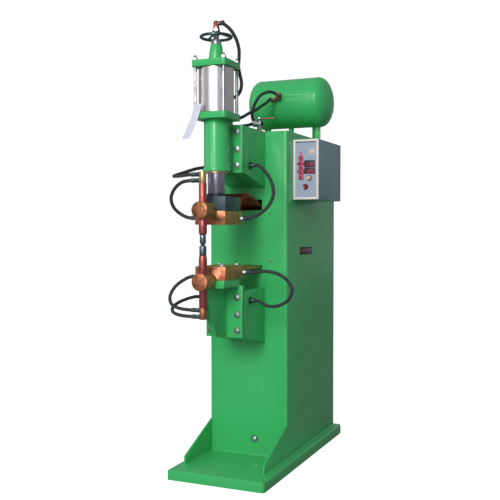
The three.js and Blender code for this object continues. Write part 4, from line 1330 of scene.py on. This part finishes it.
@dataclass
class AirCylinder:
    """The cylinder, its tie rods, the adjuster above it and the ram below."""

    rod_radius: float = 0.0055
    nut_radius: float = 0.009
    rim: float = 0.0052

    def build(self) -> None:
        """Makes the cylinder from the bottom up."""
        self._ram()
        for node in ("cylinder_lower_plate", "cylinder_upper_plate"):
            Form.of_node(node, GREEN).soften(0.0026, 50, 3).piece(node + "_painted", replaces=[node])
        self._barrel()
        for index in range(1, 5):
            self._tie_rod(f"tie_rod_{index}")
        self._adjuster()
        self._wheel()

    def _ram(self) -> None:
        """The ground ram and, inside the barrel, its piston."""
        Form.of_node("ram", CHROME).soften(0.0008, 60).piece("ram_ground", "ram_unit", ["ram"])
        Form.of_node("piston", CAST_ALUMINIUM).soften(0.0008, 60).piece(
            "piston_turned", "ram_unit", ["piston"])

    def _barrel(self) -> None:
        """The drawn barrel with a machined land at each end."""
        low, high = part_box("cylinder_barrel")
        centre = (0, Datum.ram_y, low.z)
        radius = (high.x - low.x) / 2
        tall = high.z - low.z
        outline = [(radius - 0.006, 0), (radius - 0.0008, 0), (radius - 0.0008, 0.003),
                   (radius, 0.0036), (radius, tall - 0.0036), (radius - 0.0008, tall - 0.003),
                   (radius - 0.0008, tall), (radius - 0.006, tall), (radius - 0.006, 0)]
        Form(BARREL).turned(outline, centre, Axis.Z, 96).piece(
            "barrel_drawn", replaces=["cylinder_barrel"])
        seals = Form(HOSE)
        for z in (low.z - 0.0003, high.z - 0.0012):
            seals.collar((0, Datum.ram_y, z), radius - 0.004, radius + 0.0006, 0.0015, steps=64)
        seals.piece("barrel_seals")

    def _tie_rod(self, node: str) -> None:
        """A tie rod with a threaded top end, a washer and a nut.

        Args:
            node: the CAD node's name.
        """
        low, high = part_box(node)
        x, y = (low.x + high.x) / 2, (low.y + high.y) / 2
        bottom, top = low.z, high.z
        upper_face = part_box("cylinder_upper_plate")[0].z + 0.022
        form = Form(STEEL)
        outline = [(0, bottom), (self.rod_radius - 0.0008, bottom), (self.rod_radius, bottom + 0.0008)]
        outline += [(self.rod_radius, top - 0.0075)]
        outline += [(self.rod_radius - (0.0007 if step % 2 else 0.0), top - 0.007 + step * 0.0006)
                    for step in range(1, 11)]
        outline += [(self.rod_radius - 0.001, top), (0, top)]
        form.turned(outline, (x, y, 0), Axis.Z, 24)
        form.collar((x, y, upper_face + 0.0003), self.rod_radius, 0.0098, 0.0014, steps=28)
        form.nut((x, y, upper_face + 0.0016), self.nut_radius, 0.0075)
        form.piece(node + "_set", replaces=[node])

    def _adjuster(self) -> None:
        """The lock collar, the threaded stem and the copper elbow."""
        Form.of_node("adjuster_collar", STEEL).soften(0.001, 60).piece(
            "adjuster_collar_turned", replaces=["adjuster_collar"])
        low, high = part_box("adjuster_stem")
        outer, inner = (high.x - low.x) / 2, 0.004
        outline = [(inner, low.z), (outer - 0.001, low.z)]
        pitch, z = 0.002, low.z + 0.001
        while z < high.z - 0.003:
            outline += [(outer, z), (outer - 0.0009, z + pitch / 2)]
            z += pitch
        outline += [(outer - 0.001, high.z), (inner, high.z), (inner, low.z)]
        Form(STEEL).turned(outline, (0, Datum.ram_y, 0), Axis.Z, 32).piece(
            "adjuster_stem_threaded", "wheel_unit", ["adjuster_stem"])
        elbow = Form.of_node("air_elbow", ELBOW_COPPER).soften(0.0008, 60)
        elbow.piece("air_elbow_turned", "elbow_unit", ["air_elbow"])
        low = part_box("air_elbow")[0]
        Form(ELBOW_COPPER).nut((0, Datum.ram_y, low.z + 0.0002), 0.0118, 0.006).piece(
            "air_elbow_nut", "elbow_unit")

    def _wheel(self) -> None:
        """The handwheel: a smooth rim, three spokes, a hub and a nut."""
        low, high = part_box("handwheel")
        outer = high.x
        section = self.rim
        rim_z = low.z + section
        ring = [(outer - section + section * math.cos(math.tau * step / 16),
                 section * math.sin(math.tau * step / 16)) for step in range(16)]
        form = Form(WHEEL_CHROME).turned([*ring, ring[0]], (0, Datum.ram_y, rim_z), Axis.Z, 72)
        hub_z = high.z - 0.022
        form.turned([(0.0103, hub_z), (0.0135, hub_z), (0.015, hub_z + 0.0015), (0.015, hub_z + 0.0105),
                     (0.0135, hub_z + 0.012), (0.0103, hub_z + 0.012), (0.0103, hub_z)],
                    (0, Datum.ram_y, 0), Axis.Z, 40)
        for index in range(3):
            angle = -math.pi / 2 + index * math.tau / 3
            out = Vector((math.cos(angle), math.sin(angle), 0))
            self._spoke(form, out, Vector((0, Datum.ram_y, 0)), hub_z + 0.006, rim_z, outer - section)
        form.piece("handwheel_polished", "wheel_unit", ["handwheel"])
        nut = Form(STEEL).nut((0, Datum.ram_y, hub_z + 0.012), 0.0128, 0.0095)
        nut.piece("handwheel_nut", "wheel_unit")

    def _spoke(self, form: Form, out: Vector, centre: Vector, hub_z: float, rim_z: float,
               reach: float) -> None:
        """One tapered spoke from the hub down to the rim.

        Args:
            form: the form that it is added to.
            out: the direction that it points in.
            centre: the wheel's axis.
            hub_z: its height at the hub.
            rim_z: its height at the rim.
            reach: the rim's radius.
        """
        start = centre + out * 0.013 + Vector((0, 0, hub_z))
        along = centre + out * reach + Vector((0, 0, rim_z)) - start
        turn = along.to_track_quat("Z", "Y").to_matrix().to_4x4()
        place = Matrix.Translation(start + along / 2) @ turn
        old = set(form.bm.verts)
        bmesh.ops.create_cone(form.bm, cap_ends=True, segments=16, radius1=0.0044, radius2=0.0034,
                              depth=along.length, matrix=place)
        form.own([vert for vert in form.bm.verts if vert not in old])


# ---------------------------------------------------------------- electrodes and conductors


@dataclass
class Electrodes:
    """Both holders with their caps, rods, tips and water caps."""

    screw_ring: float = 0.0205
    screw_radius: float = 0.0050

    def build(self) -> None:
        """Makes the moving upper set, then the fixed lower set."""
        self._set("upper", "ram_unit")
        self._set("lower", "machine")
        self._foot()
        self._lower_bolts()

    def _set(self, level: str, body: str) -> None:
        """One holder with everything it clamps.

        Args:
            level: upper or lower.
            body: the CAD body that carries it.
        """
        holder = f"{level}_holder"
        front_face = Datum.face - 0.3165
        form = Form.of_node(holder, COPPER).soften(0.0012, 50)
        form.accent(AGED_COPPER, lambda middle: middle.y > front_face + 0.0008)
        form.accent(AGED_COPPER, lambda middle: middle.y < front_face - 0.0008)
        form.accent(STEEL, lambda middle: abs(middle.x) > 0.0574)
        form.piece(holder + "_machined", body, [holder])
        self._cap(level, body)
        rod = f"{level}_electrode"
        Form.of_node(rod, ROD_COPPER).soften(0.0006, 60).piece(rod + "_drawn", body, [rod])
        self._tip(level, body)
        self._water_cap(level, body)

    def _cap(self, level: str, body: str) -> None:
        """The round clamp cap with four sunk socket screws.

        Args:
            level: upper or lower.
            body: the CAD body that carries it.
        """
        node = f"{level}_clamp_cap"
        low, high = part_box(node)
        form = Form.of_node(node, COPPER).soften(0.0012, 60)
        form.accent(AGED_COPPER, lambda middle: middle.y > low.y + 0.0016)
        form.piece(node + "_machined", body, [node])
        centre = ((low.x + high.x) / 2, low.y, (low.z + high.z) / 2)
        screws = Form(BLACK)
        for index in range(4):
            angle = math.radians(35 + 90 * index)
            at = (centre[0] + self.screw_ring * math.cos(angle), low.y - 0.0004,
                  centre[2] + self.screw_ring * math.sin(angle))
            outline = [(0, -0.0036), (0.0034, -0.0036), (0.0034, 0.0), (self.screw_radius - 0.0004, 0.0),
                       (self.screw_radius, -0.0004), (self.screw_radius, -0.0042), (0, -0.0042)]
            screws.turned(outline, at, Axis.FRONT, 20)
        screws.piece(node + "_screws", body)

    def _tip(self, level: str, body: str) -> None:
        """The steel tip with its wrench groove, sloped towards the other tip.

        Args:
            level: upper or lower.
            body: the CAD body that carries it.
        """
        node = f"{level}_tip"
        low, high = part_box(node)
        tall, radius = high.z - low.z, (high.x - low.x) / 2
        face, slope = (0.0055, 0.009) if level == "upper" else (0.009, 0.003)
        outline = [(0, 0), (radius - 0.0008, 0), (radius - 0.0006, 0.002), (radius, 0.003),
                   (radius, 0.008), (radius - 0.0009, 0.0088), (radius - 0.0009, 0.0104),
                   (radius, 0.0112), (radius, tall - slope - 0.001),
                   (radius - 0.0003, tall - slope), (face + 0.0004, tall - 0.0006), (face, tall),
                   (0, tall)]
        up = level == "lower"
        at = (0, Datum.electrode_y, low.z if up else high.z)
        Form(DARK_STEEL).turned([(r, h if up else -h) for r, h in outline], at, Axis.Z, 40).piece(
            node + "_turned", body, [node])

    def _water_cap(self, level: str, body: str) -> None:
        """The water cap, brass above and copper below, with a nut on each side pipe.

        Args:
            level: upper or lower.
            body: the CAD body that carries it.
        """
        node = f"{level}_water_cap"
        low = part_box(node)[0]
        form = Form.of_node(node, BRASS if level == "upper" else COPPER).soften(0.0009, 60)
        form.accent(DARK_STEEL, lambda middle: middle.x < -0.0125)
        form.piece(node + "_turned", body, [node])
        heights = (low.z + 0.030, low.z + 0.010) if level == "upper" else (low.z + 0.031, low.z + 0.009)
        nuts = Form(DARK_STEEL)
        for z in heights:
            nuts.nut((-0.0129, Datum.electrode_y, z), 0.0088, 0.0085, Axis.LEFT, 0.3)
        nuts.piece(node + "_nuts", body)

    def _foot(self) -> None:
        """The insulating block under the ram, its dark ring and the two nozzle nuts."""
        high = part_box("ram_foot")[1]
        form = Form.of_node("ram_foot", RESIN).soften(0.0018, 50)
        form.accent(BLACK, lambda middle: middle.z > high.z - 0.0102)
        form.piece("ram_foot_moulded", "ram_unit", ["ram_foot"])
        for name, body, y, z in (("upper", "ram_unit", -192, 926), ("lower", "machine", -169, 737.5)):
            at = at_face(57.6, y, z)
            Form(STEEL).nut(at, 0.0092, 0.0085, Axis.X, 0.2).piece(name + "_nozzle_nut", body)
        for name, body, z in (("upper", "ram_unit", 928), ("lower", "machine", 724)):
            at = at_face(-57.6, -290, z)
            Form(STEEL).nut(at, 0.0092, 0.0085, Axis.LEFT, 0.1).piece(name + "_link_nut", body)

    def _lower_bolts(self) -> None:
        """The screws on the lower holder's top and the two sockets in its front."""
        form = Form(STEEL)
        for x, y in ((-34, -296), (34, -296), (-34, -176), (34, -176)):
            at = at_face(x, y, 761.8)
            form.collar(at, 0.003, 0.0088, 0.0012, steps=28)
            form.nut(at + Vector((0, 0, 0.0011)), 0.0075, 0.0055, turn=0.2)
        form.piece("lower_holder_bolts")
        sockets = Form(BLACK)
        outline = [(0, -0.002), (0.0036, -0.002), (0.0036, 0.0008), (0.0052, 0.0008),
                   (0.0056, 0.0004), (0.0056, -0.003), (0, -0.003)]
        for x in (-44, 44):
            sockets.turned(outline, at_face(x, -317, 752), Axis.FRONT, 20)
        sockets.piece("lower_holder_sockets")


@dataclass
class Conductors:
    """The laminated shunt, the bus bar and the transformer."""

    leaves: int = 7
    leaf: float = 0.00095
    pitch: float = 0.0013

    def build(self) -> None:
        """Makes the shunt leaf by leaf, then dresses what lies inside."""
        self._shunt()
        Form.of_node("bus_bar", AGED_COPPER).soften(0.0008, 50).piece(
            "bus_bar_drawn", replaces=["bus_bar"])
        Form.of_node("transformer_core", CORE).soften(0.0015, 50).piece(
            "transformer_core_stacked", replaces=["transformer_core"])
        Form.of_node("transformer_coil", COIL).soften(0.004, 50, 3).piece(
            "transformer_coil_wound", replaces=["transformer_coil"])

    def _path(self, offset: float) -> list[Vector]:
        """The line of one leaf, shifted square to the arch by an offset.

        Args:
            offset: how far the leaf lies from the middle line.

        Returns:
            The leaf's middle line.
        """
        route = [(0, -186, 950.9), (0, -186, 975), (0, -172, 998), (0, -146, 1009),
                 (0, -124, 1011), (0, -94, 1007), (0, -58, 995), (0, -20, 981), (0, 20, 974),
                 (0, 65.6, 973)]
        line = Hoses().smooth(route)
        ways = [(b - a).normalized() for a, b in zip(line, line[1:])]
        ways.append(ways[-1])
        return [point + offset * Vector((0, -way.z, way.y)) for point, way in zip(line, ways)]

    def _shunt(self) -> None:
        """Thin copper leaves that bend between the holder and the column."""
        low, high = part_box("shunt")
        across = Vector((high.x - low.x - 0.002, 0, 0))
        middle = Vector(((high.x + low.x) / 2, 0, 0))
        form = Form(LEAF_COPPER)
        for index in range(self.leaves):
            offset = (index - (self.leaves - 1) / 2) * self.pitch
            path = [point + middle for point in self._path(offset)]
            form.ribbon(path, across, self.leaf)
        shunt = form.piece("shunt_leaves", None, ["shunt"], 30)
        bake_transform(shunt)


# ---------------------------------------------------------------- air supply


@dataclass
class AirSupply:
    """The tank, its tee, the ball valve and the solenoid valve."""

    seam_x: float = 0.128
    seam: float = 0.0011

    def build(self) -> None:
        """Makes the air supply."""
        self._tank()
        self._tee()
        self._valve()
        self._solenoid()

    def _tank(self) -> None:
        """The painted tank with its weld seams and port boss."""
        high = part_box("air_tank")[1]
        Form.of_node("air_tank", GREEN).soften(0.0012, 70).piece(
            "air_tank_painted", replaces=["air_tank"], smooth=30)
        centre_y = Datum.face + 0.460
        radius = high.z - 1.420
        seams = Form(GREEN)
        for x in (-self.seam_x, self.seam_x):
            outline = [(radius - 0.0015, -0.005), (radius + 0.0001, -0.0035),
                       (radius + self.seam, -0.0012), (radius + self.seam, 0.0012),
                       (radius + 0.0001, 0.0035), (radius - 0.0015, 0.005), (radius - 0.0015, -0.005)]
            seams.turned(outline, (x, centre_y, 1.420), Axis.X, 96)
        seams.piece("tank_seams")
        boss = at_face(-12, 0, 1436)
        boss.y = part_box("tank_tee")[1].y
        port = Form(GREEN).collar(boss + Vector((0, 0.010, 0)), 0.0092, 0.0155, 0.011, Axis.FRONT,
                                  0.0015, 36)
        port.piece("tank_port_boss")
        Form(BRASS).nut((0, centre_y, 1.2885), 0.009, 0.007).piece("tank_drain_plug")

    def _tee(self) -> None:
        """The brown copper tee with a hexagon at each outlet."""
        form = Form.of_node("tank_tee", ELBOW_COPPER).soften(0.0007, 60)
        form.piece("tank_tee_turned", replaces=["tank_tee"])
        nuts = Form(ELBOW_COPPER)
        for x, z in ((-12, 1442), (-36, 1420)):
            nuts.nut(at_face(x, 334, z), 0.0102, 0.0085, Axis.FRONT, 0.2)
        nuts.piece("tank_tee_nuts")

    def _valve(self) -> None:
        """The chromed ball valve with its black pipe, and its red lever."""
        valve_y = Datum.face + 0.020
        form = Form.of_node("ball_valve", STEEL).soften(0.0007, 60)
        form.accent(HOSE, lambda middle: middle.y < valve_y - 0.0115)
        form.piece("ball_valve_body", replaces=["ball_valve"])
        hexes = Form(STEEL)
        hexes.nut((0.016, valve_y, 1.283), 0.0135, 0.010, Axis.X)
        hexes.nut((0.0425, valve_y, 1.283), 0.0128, 0.0065, Axis.X)
        hexes.nut((0.014, valve_y + 0.008, 1.283), 0.0098, 0.009, Axis.Y, 0.3)
        hexes.piece("ball_valve_hexes")
        lever = Form.of_node("valve_lever", LEVER_RED).soften(0.0014, 50)
        lever.accent(STEEL, lambda middle: middle.x < 0.0495)
        lever.piece("valve_lever_dipped", "lever_unit", ["valve_lever"])
        Form(STEEL).nut((0.038, valve_y, 1.3022), 0.0058, 0.0042).piece("valve_lever_nut", "machine")

    def _solenoid(self) -> None:
        """The solenoid valve: a cast body, a black coil and a plug."""
        coil_z = Datum.column_top + 0.0502
        form = Form.of_node("solenoid_valve", CAST_ALUMINIUM).soften(0.0015, 50)
        form.accent(BLACK, lambda middle: middle.z > coil_z and middle.y < Datum.face - 0.1455)
        form.piece("solenoid_valve_body", replaces=["solenoid_valve"])


# ---------------------------------------------------------------- control box


@dataclass
class ControlBox:
    """The timer's box: case, framed panel, displays, keys, lamp, knob and button."""

    frame_width: float = 0.0082
    frame_proud: float = 0.0022
    digit_height: float = 0.0125
    digit_pitch: float = 0.0105

    def build(self) -> None:
        """Makes the case first and then what is on its front."""
        low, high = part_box("control_panel")
        self.low, self.high, self.front = low, high, low.y
        Form.of_node("control_case", GREY).soften(0.0015, 50).piece(
            "control_case_painted", replaces=["control_case"])
        Form.of_node("control_panel", FILM).piece("control_panel_film", replaces=["control_panel"])
        self._frame()
        self._displays()
        self._keys()
        self._controls()

    def _frame(self) -> None:
        """The pale frame round the panel, and a dark line below its top bar."""
        low, high, wide = self.low, self.high, self.frame_width
        y0, y1 = self.front - self.frame_proud, self.front + 0.0002
        form = Form(TRIM)
        for x0, x1, z0, z1 in ((low.x, low.x + wide, low.z, high.z),
                               (high.x - wide, high.x, low.z, high.z),
                               (low.x + wide, high.x - wide, low.z, low.z + wide),
                               (low.x + wide, high.x - wide, high.z - wide, high.z)):
            form.box((x0, y0, z0), (x1, y1, z1), 0.0006)
        form.piece("control_frame")
        line = Form(BLACK)
        z = high.z - wide - 0.0035
        line.box((low.x + wide + 0.001, self.front - 0.0006, z),
                 (high.x - wide - 0.001, self.front + 0.0001, z + 0.0026), 0.0002)
        line.piece("control_top_line")

    def _displays(self) -> None:
        """Two dark windows with lit digits, and the dark bars beside the keys."""
        windows, digits = Form(BLACK), Form(DIGITS)
        for z0, z1, shown in ((1118, 1144, "230"), (1093.5, 1117, "085")):
            low, high = at_face(201, 0, z0), at_face(243, 0, z1)
            windows.box((low.x, self.front - 0.0012, low.z), (high.x, self.front + 0.0002, high.z),
                        0.0006)
            for index, digit in enumerate(shown):
                middle = (low.x + high.x) / 2 + (index - 1) * self.digit_pitch
                self._digit(digits, digit, middle, (low.z + high.z) / 2 - 0.003)
        for z in (1131, 1103):
            low, high = at_face(173, 0, z - 4.5), at_face(201.5, 0, z + 4.5)
            windows.box((low.x, self.front - 0.0008, low.z), (high.x, self.front + 0.0002, high.z),
                        0.0003)
        windows.piece("display_windows")
        digits.piece("display_digits")

    def _digit(self, form: Form, digit: str, x: float, z: float) -> None:
        """One seven-segment digit.

        Args:
            form: the form that it is added to.
            digit: 0 to 9.
            x: its middle.
            z: its middle height.
        """
        segments = {"0": "abcdef", "2": "abged", "3": "abgcd", "5": "afgcd", "8": "abcdefg"}[digit]
        half_w, half_h, bar = 0.0036, self.digit_height / 2, 0.0011
        places = {"a": (0, half_h, 1), "g": (0, 0, 1), "d": (0, -half_h, 1),
                  "b": (half_w, half_h / 2, 0), "c": (half_w, -half_h / 2, 0),
                  "f": (-half_w, half_h / 2, 0), "e": (-half_w, -half_h / 2, 0)}
        y0, y1 = self.front - 0.0017, self.front - 0.0011
        for name in segments:
            dx, dz, flat = places[name]
            long_x = half_w - 0.0006 if flat else bar / 2
            long_z = bar / 2 if flat else half_h / 2 - 0.0005
            form.box((x + dx - long_x, y0, z + dz - long_z), (x + dx + long_x, y1, z + dz + long_z))

    def _keys(self) -> None:
        """Five red keys with dished faces, and small indicator dots above and below them."""
        for index in range(1, 6):
            node = f"panel_key_{index}"
            low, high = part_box(node)
            form = Form.of_node(node, RED).soften(0.0014, 50, 3)
            form.use(BLACK).box((low.x + 0.006, low.y - 0.0003, low.z + 0.0045),
                                (high.x - 0.006, low.y + 0.0004, high.z - 0.0045), 0.0003)
            form.piece(node + "_moulded", f"key_unit_{index}", [node])
        low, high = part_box("panel_key_1")[1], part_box("panel_key_5")[0]
        x = (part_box("panel_key_1")[0].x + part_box("panel_key_1")[1].x) / 2
        dots = Form(RED)
        for dx, z, radius in ((-0.002, low.z + 0.010, 0.0042), (0.002, low.z + 0.0035, 0.003)):
            outline = [(0, 0.0016), (0.6 * radius, 0.0013), (radius, 0.0002), (radius, -0.0003),
                       (0, -0.0003)]
            dots.turned(outline, (x + dx, self.front, z), Axis.FRONT, 20)
        dots.piece("indicator_dots")

    def _controls(self) -> None:
        """The lamp, the knob with its dark ring and the red button with its bezel."""
        lamp_at = at_face(231, 0, 1175)
        lamp_at.y = self.front
        dome = [(0, 0.0055), (0.004, 0.005), (0.0072, 0.0028), (0.0084, 0.0), (0, 0.0)]
        lamp = Form(AMBER).turned(dome, lamp_at, Axis.FRONT, 32)
        lamp.use(TRIM).collar(lamp_at, 0.0082, 0.0102, 0.0016, Axis.FRONT, 0.0004)
        lamp.piece("amber_lamp")
        low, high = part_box("control_knob")
        x, z = (low.x + high.x) / 2, (low.z + high.z) / 2
        ring = Form(BLACK).collar((x, self.front, z), 0.0046, 0.0098, 0.0009, Axis.FRONT, 0.0002, 40)
        for index in range(11):
            angle = math.radians(-60 + 30 * index)
            dot = (x + 0.0136 * math.cos(angle), self.front, z + 0.0136 * math.sin(angle))
            ring.turned([(0, 0.0004), (0.0006, 0.0004), (0.0006, -0.0001), (0, -0.0001)], dot,
                        Axis.FRONT, 8)
        ring.piece("knob_scale")
        self._knob(x, z, low.y)
        low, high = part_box("start_button")
        x, z = (low.x + high.x) / 2, (low.z + high.z) / 2
        radius = (high.x - low.x) / 2
        deep = high.y - low.y
        outline = [(0, -0.0010), (0.55 * radius, -0.0006), (radius - 0.0015, 0.0),
                   (radius - 0.0003, -0.0006), (radius, -0.0016), (radius, -deep), (0, -deep)]
        Form(DEEP_RED).turned(outline, (x, low.y, z), Axis.FRONT, 40).piece(
            "start_button_moulded", "button_unit", ["start_button"])
        Form(BLACK).collar((x, self.front + 0.0001, z), radius + 0.0004, radius + 0.0016, 0.002,
                           Axis.FRONT, 0.0004, 40).piece("start_button_bezel")

    def _knob(self, x: float, z: float, tip: float) -> None:
        """A fluted knob with a pointer line.

        Args:
            x: its middle.
            z: its middle height.
            tip: the Y of its front end.
        """
        form = Form(AMBER)
        deep = self.front - 0.0012 - tip
        form.turned([(0, 0), (0.0056, 0), (0.0064, 0.0008), (0.0067, deep - 0.003),
                     (0.0079, deep - 0.002), (0.0079, deep), (0.0039, deep), (0.0039, deep + 0.011),
                     (0, deep + 0.011)], (x, tip, z), Axis.Y, 40)
        for index in range(12):
            angle = math.tau * index / 12
            at = (x + 0.0066 * math.cos(angle), tip + 0.0012, z + 0.0066 * math.sin(angle))
            form.rod(at, 0.0010, deep - 0.0045, Axis.Y, 0.0003, 8)
        form.use(BLACK).box((x - 0.0005, tip - 0.0001, z + 0.001),
                            (x + 0.0005, tip + 0.0006, z + 0.0055), 0.0001)
        form.piece("control_knob_fluted", "knob_unit", ["control_knob"])


@dataclass
class HangTag:
    """A blank film tag that hangs at the front left corner of the cylinder's lower plate."""

    width: float = 0.029
    thickness: float = 0.0006

    def build(self) -> None:
        """Makes the tag as a gently curled strip."""
        line = [(-36, -333.5, 1311), (-38, -333.7, 1300), (-42, -334.5, 1285), (-49, -337, 1262),
                (-61, -340, 1232), (-79, -343, 1195)]
        path = Hoses().smooth(line)
        across = Vector((self.width, 0, 0.001))
        Form(PAPER).ribbon(path, across, self.thickness).piece("hang_tag", smooth=60)


def main() -> None:
    """Builds the camera and the hoses first, then each sub-assembly."""
    logging.basicConfig(level=logging.INFO, format="%(message)s")
    for assembly in (Studio(), Hoses(), Cabinet(), ArmsAndHead(), AirCylinder(), Electrodes(),
                     Conductors(), AirSupply(), ControlBox(), HangTag()):
        LOG.info("building %s", type(assembly).__name__)
        assembly.build()


if __name__ == "__main__":
    main()
